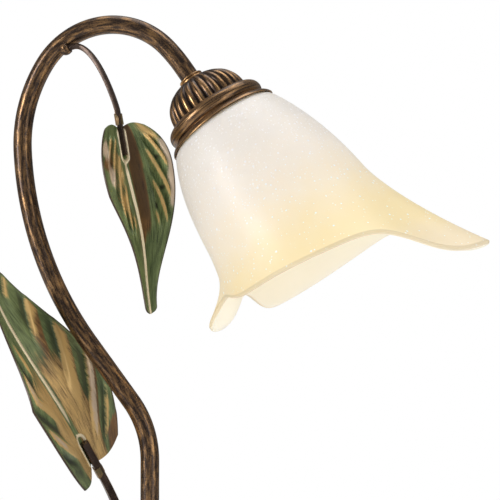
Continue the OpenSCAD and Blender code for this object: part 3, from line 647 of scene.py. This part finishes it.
def bumps(s, v):
    """Upper leaf: short stamped bumps in the outer half; also its tints of brown, gold, pink and dark. The dark, beside
    the bumps and in the strip by the midrib, is painted shade; the gold and pink on the bumps are in part painted
    highlight.
    """
    half = abs(v)
    if v > 0:
        phase = 6.2 * s - 4.1 * half + 1.323
        room = band(half, 0.4, 0.56, 0.8, 0.95) * band(s, 0.04, 0.1, 0.45, 0.62)
        # The strip beside the midrib lies in shade: the dark put there is painted shade
        shaded_valley = band(half, 0.03, 0.12, 0.3, 0.42)
        brown = shaded_valley * (1 - ramp(s, 0.5, 0.66)) + 0.7 * ramp(s, 0.4, 0.5) * (1 - ramp(half, 0.08, 0.2))
        gold = spot(s, half, 0.04, 0.74, 0.06, 0.2) + 0.35 * ramp(s, 0.42, 0.5) * (1 - ramp(half, 0.05, 0.14))
        pink = ramp(half, 0.8, 0.92) * band(s, 0.06, 0.12, 0.4, 0.5)
        # Dark spots on the flanks of the bumps that turn from the light: painted shade
        dark = 0.75 * shaded_valley * (1 - ramp(s, 0.45, 0.6)) + spot(s, half, 0.19, 0.69, 0.02, 0.09)
        dark += spot(s, half, 0.35, 0.71, 0.02, 0.08) + spot(s, half, 0.44, 0.52, 0.03, 0.08)
    else:
        phase = 6.2 * s - 4.1 * half + 0.2
        room = band(half, 0.16, 0.3, 0.64, 0.82) * band(s, 0.04, 0.1, 0.48, 0.64)
        brown = spot(s, half, 0.2, 0.83, 0.05, 0.2) + 0.6 * ramp(s, 0.5, 0.6) * (1 - ramp(half, 0.1, 0.3)) + 0.5 * room
        gold = spot(s, half, 0.24, 0.3, 0.07, 0.14) + spot(s, half, 0.42, 0.39, 0.07, 0.14)
        pink = spot(s, half, 0.12, 0.84, 0.06, 0.18) + spot(s, half, 0.27, 0.67, 0.07, 0.16)
        # Dark on this half is painted shade as well
        dark = spot(s, half, 0.41, 0.52, 0.04, 0.1) + 0.5 * spot(s, half, 0.04, 0.5, 0.05, 0.3)
    swell = sin(2 * pi * phase)
    return 1.7 * room * swell, room * (1.4 * max(0.0, swell) ** 1.5 - 0.2), (brown, gold, pink, dark)


def pleats(s, v):
    """Lower leaf: on one half long pleats that rise and fall off sharply, on the other soft ridges; and its tints. Gold
    and pink on the faces of the pleats that turn to the light are painted highlight, and dark after the creases and in
    the troughs of the ridges is painted shade.
    """
    half = abs(v)
    body = band(half, 0.03, 0.1, 0.42, 0.6) * (1 - ramp(s, 0.3, 0.5))
    if v < 0:
        phase = 4.37 * s - 3.19 * half + 3.26 * s * half + 0.51
        part = phase - floor(phase)
        room = ramp(half, 0.26, 0.5) * band(s, 0.02, 0.08, 0.66, 0.95)
        room *= 1 - 0.85 * ramp(half, 0.82, 1.0)
        saw = part / 0.88 if part < 0.88 else (1 - part) / 0.12
        # face: the side of each pleat that turns to the light, where gold and pink are painted highlight; after each
        # crease comes a shaded strip, where dark is painted shade
        face = band(part, 0.36, 0.6, 0.88, 0.98)
        shaded_valley = 1 - ramp(part, 0.2, 0.42)
        pink = 0.8 * room * face * ramp(part, 0.5, 0.75) * (-1 < phase < 0)
        gold = room * face * (0 < phase < 1) * 0.6 + room * band(part, 0.84, 0.92, 0.95, 1.0) * 0.6
        gold += room * face * (1 < phase < 2) * ramp(half, 0.6, 0.85) * 0.6 + 0.65 * body
        brown = room * face * (-1 < phase < 2) + body + ramp(half, 0.5, 0.7) * (1 - ramp(s, 0.05, 0.1))
        dark = 0.7 * room * shaded_valley * (phase > -1) + spot(s, half, 0.36, 0.28, 0.06, 0.1)
        dark += 0.5 * ramp(half, 0.5, 0.7) * (1 - ramp(s, 0.05, 0.1))
        return 2.2 * room * (saw - 0.5), room * (1.6 * saw - 0.8), (brown, gold, pink, dark)
    phase = 6 * s - 1.9 * half
    room = band(half, 0.3, 0.45, 0.85, 1.0) * band(s, 0.08, 0.14, 0.4, 0.6)
    swell = cos(2 * pi * (phase - 0.8))
    crest = max(0.0, swell) ** 1.5
    brown = 0.8 * body + 0.6 * room * crest
    gold = 0.75 * body + room * crest
    pink = 0.7 * room * crest * ramp(half, 0.55, 0.75)
    # Dark in the troughs of the soft ridges: painted shade
    dark = 0.8 * room * max(0.0, -swell) + 0.8 * spot(s, half, 0.07, 0.69, 0.05, 0.2)
    return 1.5 * room * swell, room * swell, (brown, gold, pink, dark)


upper_form = LeafForm(119, (33.5, 0.37, 0.68), (33.5, 0.22, 1.01), 3.9, -2.1, 41, 0.178, 0.71, 0.025, bumps)
lower_form = LeafForm(190.5, (45.5, 0.25, 0.8), (45.5, 0.36, 0.4), -13.4, -16, 20, 0.1, 0.53, 0.02, pleats)


def mark_points(piece, label, values):
    """Keeps four values on each point of a piece, for its finish to read."""
    layer = piece.data.attributes.new(label, "FLOAT_COLOR", "POINT")
    for point, value in zip(layer.data, values):
        point.color = value


def stamped_leaf(form, place, along, across):
    """The leaf as sheet; each point knows its level, its rib, its distance from the midrib, and its tints."""
    stamp_marks, tint_marks = [], []

    def point(u, v):
        way = 2 * v - 1
        v_leaf = (1 if way > 0 else -1) * abs(way) ** 1.35
        spot_here, level, rib, tints = form.point(u, v_leaf, place.bar_half)
        stamp_marks.append((0.5 + 0.5 * level, rib, abs(v_leaf), 1.0))
        tint_marks.append([min(1.0, tint) for tint in tints])
        return place.frame @ spot_here

    leaf = shaped_grid(along, across, point)
    mark_points(leaf, "stamp", stamp_marks)
    mark_points(leaf, "tint", tint_marks)
    lay_map(leaf, lambda u, v: (u * form.length / 1000, (2 * v - 1) * form.left[0] / 1000))
    give_wall(leaf, leaf_sheet, 0, even=False)
    smooth_below(45)
    return leaf


# Patina on sheet: green in two depths, brown where it is low, brushed gold and pinkish grey where it is proud. The dark
# colour is painted shade; part of the gold, the pink and the cream of the midrib is painted highlight.
patina = Effect("patina", Place=None, Level=0.5, Rib=0.0, Off_rib=0.5, Brown=0.0, Gold=0.0, Pink=0.0, Dark=0.0)
leaf_given = patina.given
leaf_place = leaf_given["Place"]
brush_lines = patina.noise(patina.stretched(leaf_place, 90.0, 1100.0, 1.0), 1.0, detail=5.0, roughness=0.62)
cloud_lines = patina.noise(patina.stretched(leaf_place, 60.0, 190.0, 1.0), 1.0, detail=3.0)
leaf_flecks = patina.noise(leaf_place, 1300.0)
brushed = patina.math("MULTIPLY_ADD", brush_lines, 0.9, patina.math("MULTIPLY", cloud_lines, 0.5))
brushed = patina.math("MULTIPLY_ADD", leaf_flecks, 0.3, brushed)

green_depth = patina.steps(patina.math("MULTIPLY_ADD", leaf_given["Level"], 0.35, brushed), 0.75, 1.3)
body_colour = patina.blend(green_depth, paint(52, 64, 38), paint(130, 144, 92))
browns = patina.blend(patina.steps(brushed, 0.6, 1.05), paint(62, 42, 28), paint(142, 104, 60))
golds = patina.math("MULTIPLY_ADD", patina.steps(leaf_given["Level"], 0.6, 0.95), 0.8, leaf_given["Gold"])
# Brushed on in turn over the green: brown; a near-black that is painted shade; then gold, pink and the cream of the
# midrib, brushed metal that is in part painted highlight
brushed_on = (
    (leaf_given["Brown"], 0.75, browns, 1.12, 1.45),
    (leaf_given["Dark"], 0.75, paint(40, 36, 26), 1.15, 1.7),
    (golds, 0.7, paint(212, 176, 114), 1.02, 1.48),
    (leaf_given["Pink"], 0.75, paint(212, 190, 164), 1.08, 1.5),
    (leaf_given["Rib"], 0.9, paint(232, 216, 182), 1.15, 1.6),
)
shares = []
for mark, weight, next_colour, low, high in brushed_on:
    shares.append(patina.steps(patina.math("MULTIPLY_ADD", mark, weight, brushed), low, high))
    body_colour = patina.blend(shares[-1], body_colour, next_colour)
gold_share, pink_share, rib_share = shares[2:]
edge_line = patina.steps(leaf_given["Off rib"], 0.965, 0.99)
body_colour = patina.blend(edge_line, body_colour, paint(66, 50, 36))
bare_share = patina.math("MAXIMUM", patina.math("MAXIMUM", gold_share, pink_share), rib_share)
patina.gives("Color", body_colour, "NodeSocketColor")
patina.gives("Bare", patina.math("MULTIPLY", bare_share, patina.math("SUBTRACT", 1.0, edge_line)))
patina.gives("Height", patina.math("MULTIPLY_ADD", leaf_flecks, 0.4, brush_lines))


def leaf_finish(name, roughness):
    finish = Finish(name, Specular_IOR_Level=0.5)
    level, rib, off_rib, _ = finish.marks("stamp")
    brown, gold, pink, dark = finish.marks("tint")
    coat = finish.group(patina, Place=finish.places["UV"], Level=level, Rib=rib, Off_rib=off_rib, Brown=brown,
                        Gold=gold, Pink=pink, Dark=dark)
    finish.wear("Base Color", coat["Color"])
    finish.wear("Metallic", finish.steps(coat["Bare"], 0.0, 1.0, 0.2, 0.45))
    finish.wear("Roughness", finish.steps(coat["Height"], 0.4, 0.9, roughness, roughness + 0.14))
    finish.bump(coat["Height"], 0.0001)
    return finish.material


leaf_patina = leaf_finish("leaf_patina", 0.3)
upper_leaf = stamped_leaf(upper_form, upper_place, 240, 88)
finish_piece(upper_leaf, "upper_leaf_stamped", "lamp", leaf_patina, "leaf_patina", "upper_leaf")
lower_leaf = stamped_leaf(lower_form, lower_place, 300, 160)
finish_piece(lower_leaf, "lower_leaf_stamped", "lamp", leaf_patina, "leaf_patina", "lower_leaf")


def folded_tongue(place):
    """Tongue of the leaf: it wraps three arrises of the bar and leaves a slit at the front one."""
    gap, wall = 0.08, 0.5
    reach = place.bar_half + gap * sqrt(2) + wall / 2

    def point(u, v):
        a = 28 + u * 304
        quarter = radians(a % 90 - 45)
        r = reach * cos(radians(45)) / cos(quarter)
        slant = 3.2 * (1 - v) * abs(2 * u - 1) ** 2
        x = -tongue_length + slant + v * (tongue_length - 2.7)
        return place.frame @ Vector((x, r * sin(radians(a)), place.lift + r * cos(radians(a))))

    tongue = shaped_grid(76, 24, point)
    lay_map(tongue, lambda u, v: (v * tongue_length / 1000, u * bar_girth))
    points = len(tongue.data.vertices)
    mark_points(tongue, "stamp", [(0.5, 0.3, 0.6, 1.0)] * points)
    # Its tints: mostly brown, with a little gold, pink and painted shade in the hollow round the bar
    mark_points(tongue, "tint", [(0.7, 0.2, 0.2, 0.2)] * points)
    give_wall(tongue, wall, 0)
    smooth_below(35)
    return tongue


finish_piece(folded_tongue(upper_place), "upper_tongue_folded", "lamp", leaf_patina, "leaf_patina", "upper_tongue")
finish_piece(folded_tongue(lower_place), "lower_tongue_folded", "lamp", leaf_patina, "leaf_patina", "lower_tongue")


# ---- Gallery cup ----
# A turned neck with a thin gold collar seats on the tube; the dome below it is stamped with convex gadroons.
# The gallery ring closes the cup: sheet rolled to a round bead, with a thin lip that hugs the shoulder of the glass.

tube_in_neck = 1.2
collar_x, collar_z, collar_heading = stem_at(stem_length - tube_in_neck)
down_x, down_z = cos(radians(collar_heading)), sin(radians(collar_heading))
head_place = Matrix(((-down_z, 0, down_x, collar_x / 1000), (0, -1, 0, 0), (down_x, 0, down_z, collar_z / 1000),
                     (0, 0, 0, 1)))
sheet = 1.2
dome_r, dome_h, dome_top, gadroons = 26.8, 23.7, 2.4, 28

neck_profile = [(6.05, -0.6), (7.3, -0.6), (7.8, -0.45), (8.1, -0.1), (8.15, 0.3), (7.9, 0.75), (7.6, 0.9), (7.7, 1.05),
                (8.2, 1.3), (8.4, 1.6), (8.4, 2.4), (6.9, 2.4), (6.9, 3.4), (4.98, 3.4), (4.98, 1.2), (6.05, 1.2),
                (6.05, -0.6)]
neck_gold = rubbed_bronze("neck_gold", 0.72, long_scale=900.0, cross_scale=60.0)
neck = turn_profile(neck_profile, around=96, place=head_place)
finish_piece(neck, "cup_neck_turned", "lamp", neck_gold, "gold_lacquer", "cup_neck")


def dome_crest(t):
    return dome_r * max(0.0, 1 - (max(0.0, dome_h - t) / (dome_h - 1.5)) ** 2.4) ** 0.45


dome_marks = []
dome_top_v, dome_line, groove_share, dome_hole_r = 0.9, 0.036, 0.31, 7.0


def dome_point(u, v):
    """Outside of the dome from its foot to its top at dome_top_v, then in to the hole for the neck."""
    a, up = 2 * pi * u, min(1.0, v / dome_top_v)
    t = dome_h - (dome_h - dome_top) * sin(pi / 2 * up)
    proud = abs(sin(a * gadroons / 2)) ** 0.8
    r = dome_crest(t) - groove_share * 2 * pi * dome_crest(t) / gadroons * (1 - proud)
    r += (dome_hole_r - r) * max(0.0, (v - dome_top_v) / (1 - dome_top_v))
    dome_marks.append((proud, up, 0.0, 1.0))
    return Vector((r * cos(a), r * sin(a), t))


dome = shaped_grid(gadroons * 14, 60, dome_point)
mark_points(dome, "stamp", dome_marks)
lay_map(dome, lambda u, v: (u * 2 * pi * dome_r / 1000, v * dome_line))
mend_mesh(weld=True)
give_wall(dome, 1.0, -1, even=False)
dome.data.transform(head_place)
smooth_below(50)


def crest_rub(finish):
    """Gold along the crests of the gadroons, most at their foot."""
    proud, up, _, _ = finish.marks("stamp")
    crest = finish.steps(proud, 0.4, 1.0, 0.2, 0.62)
    return finish.math("MULTIPLY", crest, finish.steps(up, 0.8, 0.2, 0.6, 1.0))


dome_bronze = rubbed_bronze("dome_bronze", crest_rub, long_scale=120.0, cross_scale=700.0)
finish_piece(dome, "cup_dome_gadrooned", "lamp", dome_bronze, "bronze_lacquer", "cup_dome")

bead_t, bead_ring_r, bead_r, land_r, land_low = 29.3, 28.6, 5.3, 23.6, 34.6


def bead_arc(radius, start, end, step):
    count = abs(round((end - start) / step))
    angles = [start + (end - start) * i / count for i in range(count + 1)]
    return arc(bead_ring_r, bead_t, radius, radius, angles)


ring_profile = [(land_r, dome_h), (26.4, dome_h)] + bead_arc(bead_r, -95, 48, 6)
ring_profile += [(r, land_low + rise) for r, rise in (
    (32.3, -1.05), (33.0, -0.8), (34.3, -0.1), (35.6, 0.7), (36.6, 1.6), (37.3, 2.5), (37.6, 3.1), (37.55, 3.5),
    (37.2, 3.6), (36.8, 3.2), (36.0, 2.3), (35.0, 1.4), (33.6, 0.7), (31.6, 0.2))]
ring_profile += [(29.6, land_low), (land_r, land_low), (land_r, land_low - sheet), (27.4, land_low - sheet)]
ring_profile += bead_arc(bead_r - sheet, 90, -90, 8) + [(land_r, dome_h + sheet), (land_r, dome_h)]

ring_bronze = rubbed_bronze("ring_bronze", 0.5, long_scale=800.0, cross_scale=40.0)
ring = turn_profile(ring_profile, around=192, place=head_place)
finish_piece(ring, "gallery_ring_rolled", "lamp", ring_bronze, "bronze_lacquer", "gallery_ring")

brass_drawn = mottled("brass_drawn", paint(184, 148, 78), paint(214, 180, 104), 160, 0.28, 0.00002, Metallic=1.0)
dress("head_nut", brass_drawn)


# ---- Lampholder and clamp ring ----
# A black moulded holder for a small screw bulb: domed cap, and a body whose skirt is threaded for the clamp ring.
# Inside are a brass screw shell and a spring contact. Rubber gaskets lie on both sides of the glass.

skirt_r, cap_skirt, holder_end, holder_floor, ring_pitch = 13.9, 24.0, 60.0, 30.0, 2.0


def cut_round(piece, depth_at):
    """Takes depth_at(r, z, turn) millimetres off a turned piece, turn in full turns; then it goes to the head."""
    for vertex in piece.data.vertices:
        x, y, z = vertex.co * 1000
        left = 1 - depth_at(hypot(x, y), z, atan2(y, x) / (2 * pi)) / max(hypot(x, y), 0.1)
        vertex.co = (vertex.co.x * left, vertex.co.y * left, vertex.co.z)
    piece.data.transform(head_place)


def threaded_turning(profile, radius, low, high, pitch, depth):
    """A turned piece of the head with a rounded thread of one start."""
    def thread(r, z, turn):
        if not low < z < high or r <= radius - 0.05:
            return 0.0
        return depth * min(1.0, (z - low) / pitch, (high - z) / pitch) * (0.5 - 0.5 * cos(2 * pi * (z / pitch - turn)))

    piece = turn_profile(profile, around=72)
    cut_round(piece, thread)
    mend_mesh(close=True)
    return piece


def threaded_run(radius, low, high, pitch):
    count = round((high - low) / pitch * 8)
    return [(radius, low + (high - low) * i / count) for i in range(count + 1)]


holder_profile = [(0.2, cap_skirt - 4), (12.5, cap_skirt - 4), (12.5, cap_skirt)]
holder_profile += threaded_run(skirt_r, cap_skirt, holder_end - 0.8, ring_pitch)
holder_profile += [(skirt_r - 0.8, holder_end), (10.6, holder_end), (10.2, holder_end - 0.2), (10, holder_end - 0.6),
                   (10, holder_end - 6), (7.95, holder_end - 6), (7.95, holder_floor), (0.2, holder_floor)]
holder = threaded_turning(holder_profile, skirt_r, cap_skirt + 2, holder_end - 1.5, ring_pitch, 0.6)
finish_piece(holder, "holder_body_threaded", "lamp", plastic_black, "black_plastic", "holder_body")
dress("holder_cap", plastic_black)
for contact in ("screw_shell", "centre_contact"):
    dress(contact, brass_drawn)

rubber_grey = mottled("rubber_grey", paint(196, 194, 188), paint(216, 214, 208), 240, 0.7, 0.00004)
for gasket in ("gallery_gasket", "shade_gasket"):
    dress(gasket, rubber_grey)

clamp_low, clamp_r = 40.2, 21.5
clamp_profile = [(14.0, clamp_low), (clamp_r - 0.6, clamp_low), (clamp_r, clamp_low + 0.6), (clamp_r, clamp_low + 2.2),
                 (clamp_r - 0.5, clamp_low + 2.5), (17.1, clamp_low + 2.8), (16.5, clamp_low + 5.4),
                 (16.1, clamp_low + 5.8), (14.0, clamp_low + 5.8), (14.0, clamp_low)]
clamp = turn_profile(clamp_profile, around=216)
clamp_ribs, rib_share_deep = 36, 0.03
cut_round(clamp, lambda r, z, turn: rib_share_deep * r * (0.5 + 0.5 * cos(2 * pi * clamp_ribs * turn))
          if r > clamp_r - 0.8 else 0.0)
finish_piece(clamp, "clamp_ring_ribbed", "shade_ring", plastic_black, "black_plastic", "shade_ring")


# ---- Glass shade ----
# Blown and pulled glass like a lily: a flat crown with the hole for the holder, a round shoulder, a wall that opens,
# a long tip on one side, a short curled lip on the other, and a fire-polished rim.
# White frit was rolled into it, most at the crown; the glass turns from a warm white to cream and amber at the rim. Its
# inner side is painted a brighter cream and glows faintly: painted light that stands in for light coming through the
# wall.

hole_r, glass_top, glass_wall, rim_t = 14.8, 35.9, 3.0, 142.0
glass_flat_r = 27.5
wall_start_t = 41.4


def off(a, b):
    return (a - b + 180) % 360 - 180


def glass_rim(a):
    """Distance of the rim from the tube's end at angle a: the long tip, the full side, a dip, the lip and a notch."""
    return (rim_t + 40.4 * exp(-abs(off(a, 0) / 34.6) ** 3) + 11.6 * exp(-(off(a, 0) / 51) ** 2)
            + 12.3 * exp(-(off(a, 56) / 51.2) ** 2) - 10.2 * exp(-(off(a, 159.4) / 21) ** 2)
            - 14.1 * exp(-(off(a, 203) / 10) ** 2))


def glass_r(t, a):
    return (37.2 + 23.7 * (1 - exp(-(t - glass_top - 3.3) / 42.4))
            + 9.1 * max(0, (t - 99.1) / 44) ** 2 * (1 - exp(-(off(a, 0) / 40) ** 2))
            + 30.3 * max(0, (t - rim_t + 30) / 80) ** 1.5 * exp(-(off(a, 0) / 21.6) ** 2)
            + 17 * max(0, (t - glass_rim(a) + 13.8) / 13.8) ** 1.3 * exp(-(off(a, 179.8) / 13.8) ** 2)
            + 1.6 * cos(radians(a)) * ramp(t, 45, 110))


def glass_outside(w, a):
    """Radius and distance on the outer skin: w runs from the hole (-1) over the shoulder (0) to the rim (1)."""
    if w <= -0.3:
        return hole_r + (glass_flat_r - hole_r) * (w + 1) / 0.7, glass_top
    if w < 0:
        u = (w + 0.3) / 0.3
        start_r = glass_r(wall_start_t, a)
        slope = glass_r(wall_start_t + 0.5, a) - glass_r(wall_start_t - 0.5, a)
        knee_r = start_r - slope * (wall_start_t - glass_top)
        return ((1 - u) ** 2 * glass_flat_r + 2 * u * (1 - u) * knee_r + u * u * start_r,
                (1 - u) ** 2 * glass_top + 2 * u * (1 - u) * glass_top + u * u * wall_start_t)
    t = wall_start_t + (glass_rim(a) - wall_start_t) * w
    return glass_r(t, a), t


def glass_inside(w, a):
    """The outer skin moved square to itself by the wall."""
    r, t = glass_outside(w, a)
    r0, t0 = glass_outside(max(-1, w - 0.004), a)
    r1, t1 = glass_outside(min(1, w + 0.004), a)
    length = hypot(r1 - r0, t1 - t0)
    across, along = (r1 - r0) / length, (t1 - t0) / length
    r, t = r - glass_wall * max(along, 0.35 if w > 0 else 0), t + glass_wall * across
    return r, max(t, glass_top + glass_wall) if w < 0 else t


glass_around, outer_rows, rim_rows = 264, 150, 8
glass_rows = 2 * outer_rows + rim_rows + 1
glass_marks = []


def glass_way(i):
    """Share of the skin at row i: crowded at the shoulder and towards the rim."""
    share = i / outer_rows
    return -1 + 0.7 * share / 0.06 if share < 0.06 else -0.3 + 0.3 * (share - 0.06) / 0.1 if share < 0.16 \
        else (share - 0.16) / 0.84


def glass_vertex(u, v):
    a = 360 * u - 26 * sin(2 * pi * u)
    i = round(v * glass_rows)
    if i <= outer_rows:
        w = glass_way(i)
        r, t = glass_outside(w, a)
        inner = 0.0
    elif i < outer_rows + rim_rows:
        turn = pi * (i - outer_rows) / rim_rows
        (ro, to), (ri, ti) = glass_outside(1, a), glass_inside(1, a)
        rb, tb = glass_outside(0.99, a)
        length = hypot(ro - rb, to - tb)
        out = 0.4 * glass_wall * sin(turn)
        r = (ro + ri) / 2 + (ro - ri) / 2 * cos(turn) + (ro - rb) / length * out
        t = (to + ti) / 2 + (to - ti) / 2 * cos(turn) + (to - tb) / length * out
        w, inner = 1.0, turn / pi
    elif i < glass_rows:
        w = glass_way(2 * outer_rows + rim_rows - i)
        r, t = glass_inside(w, a)
        inner = 1.0
    else:
        w, r, t, inner = -1, hole_r, glass_top, 0.0
    to_rim = max(0.0, 1 - (glass_rim(a) - t) / 60)
    glass_marks.append((max(0.0, (t - glass_top) / 160), to_rim, 0.0, inner))
    return Vector((r * cos(radians(a)), r * sin(radians(a)), t))


shade = shaped_grid(glass_around, glass_rows, glass_vertex)
mark_points(shade, "blow", glass_marks)
mend_mesh(weld=True)
shade.data.transform(head_place)
smooth_below(60)

# Specks of frit in the glass: round grains of uneven size, dense where the mask says so
frit = Effect("frit", Place=None, Spacing=380.0, Share=0.7)
grains = frit.node("ShaderNodeTexVoronoi", Vector=frit.given["Place"], Scale=frit.given["Spacing"], Randomness=1.0)
grain_luck = frit.node("ShaderNodeSeparateColor", Color=grains.outputs["Color"]).outputs
grain_size = frit.steps(grain_luck["Red"], 0.0, 1.0, 0.12, 0.34)
grain_here = frit.math("LESS_THAN", grain_luck["Green"], frit.given["Share"])
grain_body = frit.steps(frit.math("DIVIDE", grains.outputs["Distance"], grain_size), 1.0, 0.55)
frit.gives("Grain", frit.math("MULTIPLY", grain_body, grain_here))

glass_pale = paint(229, 225, 218)
glass_speck = paint(255, 255, 255)
glass_cream = paint(245, 230, 212)
glass_amber = paint(248, 208, 156)
glass_tip = paint(238, 208, 174)
glass_inside_painted_light = paint(255, 240, 212)

glass = Finish("frosted_lily_glass", Transmission_Weight=0.06, Subsurface_Weight=0.85, Subsurface_Scale=0.02, IOR=1.45,
               Specular_IOR_Level=0.45)
glass.shader.inputs["Subsurface Radius"].default_value = (1.0, 0.95, 0.8)
down_glass, near_rim, _, inner_side = glass.marks("blow")
glass_place = glass.places["Object"]
cloud = glass.noise(glass_place, 55.0, detail=3.0)
far_down = glass.math("MULTIPLY_ADD", cloud, 0.16, down_glass)
frit_share = glass.steps(far_down, 0.8, 0.25, 0.16, 0.85)
specks = glass.group(frit, Place=glass_place, Spacing=340.0, Share=frit_share)
small_specks = glass.group(frit, Place=glass_place, Spacing=620.0, Share=frit_share)
speck = glass.math("MAXIMUM", specks["Grain"], glass.math("MULTIPLY", small_specks["Grain"], 0.8))
wall_colour = glass_pale
for start, full, most, next_colour in ((0.16, 0.56, 1.0, glass_cream), (0.38, 0.8, 0.9, glass_amber),
                                       (0.84, 1.02, 1.0, glass_tip)):
    wall_colour = glass.blend(glass.steps(far_down, start, full, 0.0, most), wall_colour, next_colour)
wall_colour = glass.blend(glass.math("MULTIPLY", speck, 0.95), wall_colour, glass_speck)
# The brighter cream of the inner side is painted light, for light that comes through the wall
wall_colour = glass.blend(inner_side, wall_colour, glass_inside_painted_light)
rim_line = glass.math("MULTIPLY", glass.steps(near_rim, 0.975, 0.995, 0.0, 0.6), glass.steps(inner_side, 0.9, 0.5))
wall_colour = glass.blend(rim_line, wall_colour, paint(176, 160, 132))
glass.wear("Base Color", wall_colour)
# A faint glow on the inner side, though the bulb is not lit: painted light
glass.wear("Emission Color", glass.blend(inner_side, paint(0, 0, 0), paint(255, 232, 190)))
glass.shader.inputs["Emission Strength"].default_value = 0.15
glass.wear("Roughness", glass.steps(speck, 0.0, 1.0, 0.42, 0.3))
glass.bump(glass.math("MULTIPLY_ADD", speck, 0.3, cloud), 0.00015)
finish_piece(shade, "lily_shade_blown", "shade", glass.material, "frosted_glass", "glass_shade")


# ---- Bulb ----
# A small round bulb with a screw cap: a brass pip, a nickelled cap with its rolled thread, and an opal globe.
# It screws into the shell of the holder and hides in the upper half of the shade.

bulb_cap_t, bulb_neck_t, bulb_cap_r, globe_r, bulb_pitch = 34.2, 56.2, 6.9, 22.5, 2.82
globe_t = bulb_neck_t + 9 + globe_r
nickel = mottled("nickel_plate", paint(176, 174, 168), paint(208, 206, 200), 140, 0.26, 0.00002, Metallic=1.0)
cap_profile = [(0.2, bulb_cap_t), (5.6, bulb_cap_t), (6.2, bulb_cap_t + 0.4), (bulb_cap_r - 0.1, bulb_cap_t + 1.5)]
cap_profile += threaded_run(bulb_cap_r, bulb_cap_t + 1.8, bulb_neck_t, bulb_pitch)
cap_profile += [(6.3, bulb_neck_t), (6.3, bulb_cap_t + 2.2), (5.1, bulb_cap_t + 1), (0.2, bulb_cap_t + 1)]
bulb_cap = threaded_turning(cap_profile, bulb_cap_r, bulb_cap_t + 1.8, bulb_neck_t - 3, bulb_pitch, 0.45)
finish_piece(bulb_cap, "bulb_cap_threaded", "bulb", nickel, "nickel_brass", "bulb_cap")
dress("bulb_pip", brass_drawn)

neck_turn = 180 - degrees(asin(8.5 / globe_r))


def globe_line(deep):
    line = [(bulb_cap_r - deep, bulb_neck_t), (bulb_cap_r + 0.15 - deep, bulb_neck_t + 1.5),
            (bulb_cap_r + 0.7 - deep, bulb_neck_t + 3)]
    line += [((globe_r - deep) * sin(radians(neck_turn * (1 - i / 40))),
              globe_t + (globe_r - deep) * cos(radians(neck_turn * (1 - i / 40)))) for i in range(40)]
    return line + [(0.15, globe_t + globe_r - deep)]


opal = mottled("opal_globe", paint(244, 240, 228), paint(250, 247, 238), 30, 0.22, 0.00001, Subsurface_Weight=0.4,
               Subsurface_Scale=0.004)
globe = turn_profile(globe_line(0) + globe_line(0.9)[::-1] + globe_line(0)[:1], around=128, place=head_place)
finish_piece(globe, "bulb_globe_opal", "bulb", opal, "opal_glass", "bulb_glass")


# ---- Floor, backdrop and lamps ----
# A plain pale floor and a white backdrop, in a studio that is dim to what shines in the metal.
# One soft panel at the left gives the long highlights; a weak one at the right and one overhead fill.

bpy.ops.object.select_all(action="DESELECT")
bpy.ops.mesh.primitive_circle_add(vertices=96, radius=1.6, fill_type="NGON", location=(0, 0, 0))
floor = bpy.context.object
floor.name = "floor"
floor_paper = mottled("floor_paper", paint(236, 236, 235), paint(240, 240, 239), 4, 0.9, 0.00001)
floor.data.materials.append(floor_paper)

room = bpy.data.worlds.new("room")
scene.world = room
room.use_nodes = True
room.node_tree.nodes.clear()
studio = Wiring(room.node_tree)
path = studio.node("ShaderNodeLightPath").outputs
seen = studio.math("MAXIMUM", path["Is Camera Ray"], path["Is Transmission Ray"])
brightness = studio.math("MULTIPLY_ADD", seen, 0.42, 0.58)
brightness = studio.math("MULTIPLY_ADD", path["Is Glossy Ray"], -0.38, brightness)
room_light = studio.node("ShaderNodeBackground", Color=(1.0, 1.0, 1.0, 1.0), Strength=brightness)
studio.node("ShaderNodeOutputWorld", Surface=room_light.outputs[0])


def soft_panel(name, place, size, power):
    """A soft lamp that faces the middle of the object."""
    bpy.ops.object.light_add(type="AREA", location=place)
    panel = bpy.context.object
    panel.name = name
    panel.data.shape = "RECTANGLE"
    panel.data.size, panel.data.size_y = size
    panel.data.energy = power
    panel.rotation_euler = (Vector((0.0, 0.0, 0.33)) - Vector(place)).to_track_quat("-Z", "Y").to_euler()


soft_panel("front_left_panel", (-1.85, -1.6, 0.85), (0.25, 1.2), 31)
soft_panel("front_right_panel", (1.7, -1.0, 0.7), (1.0, 1.4), 9)
soft_panel("overhead_panel", (0.1, 0.2, 1.9), (1.6, 1.2), 14)
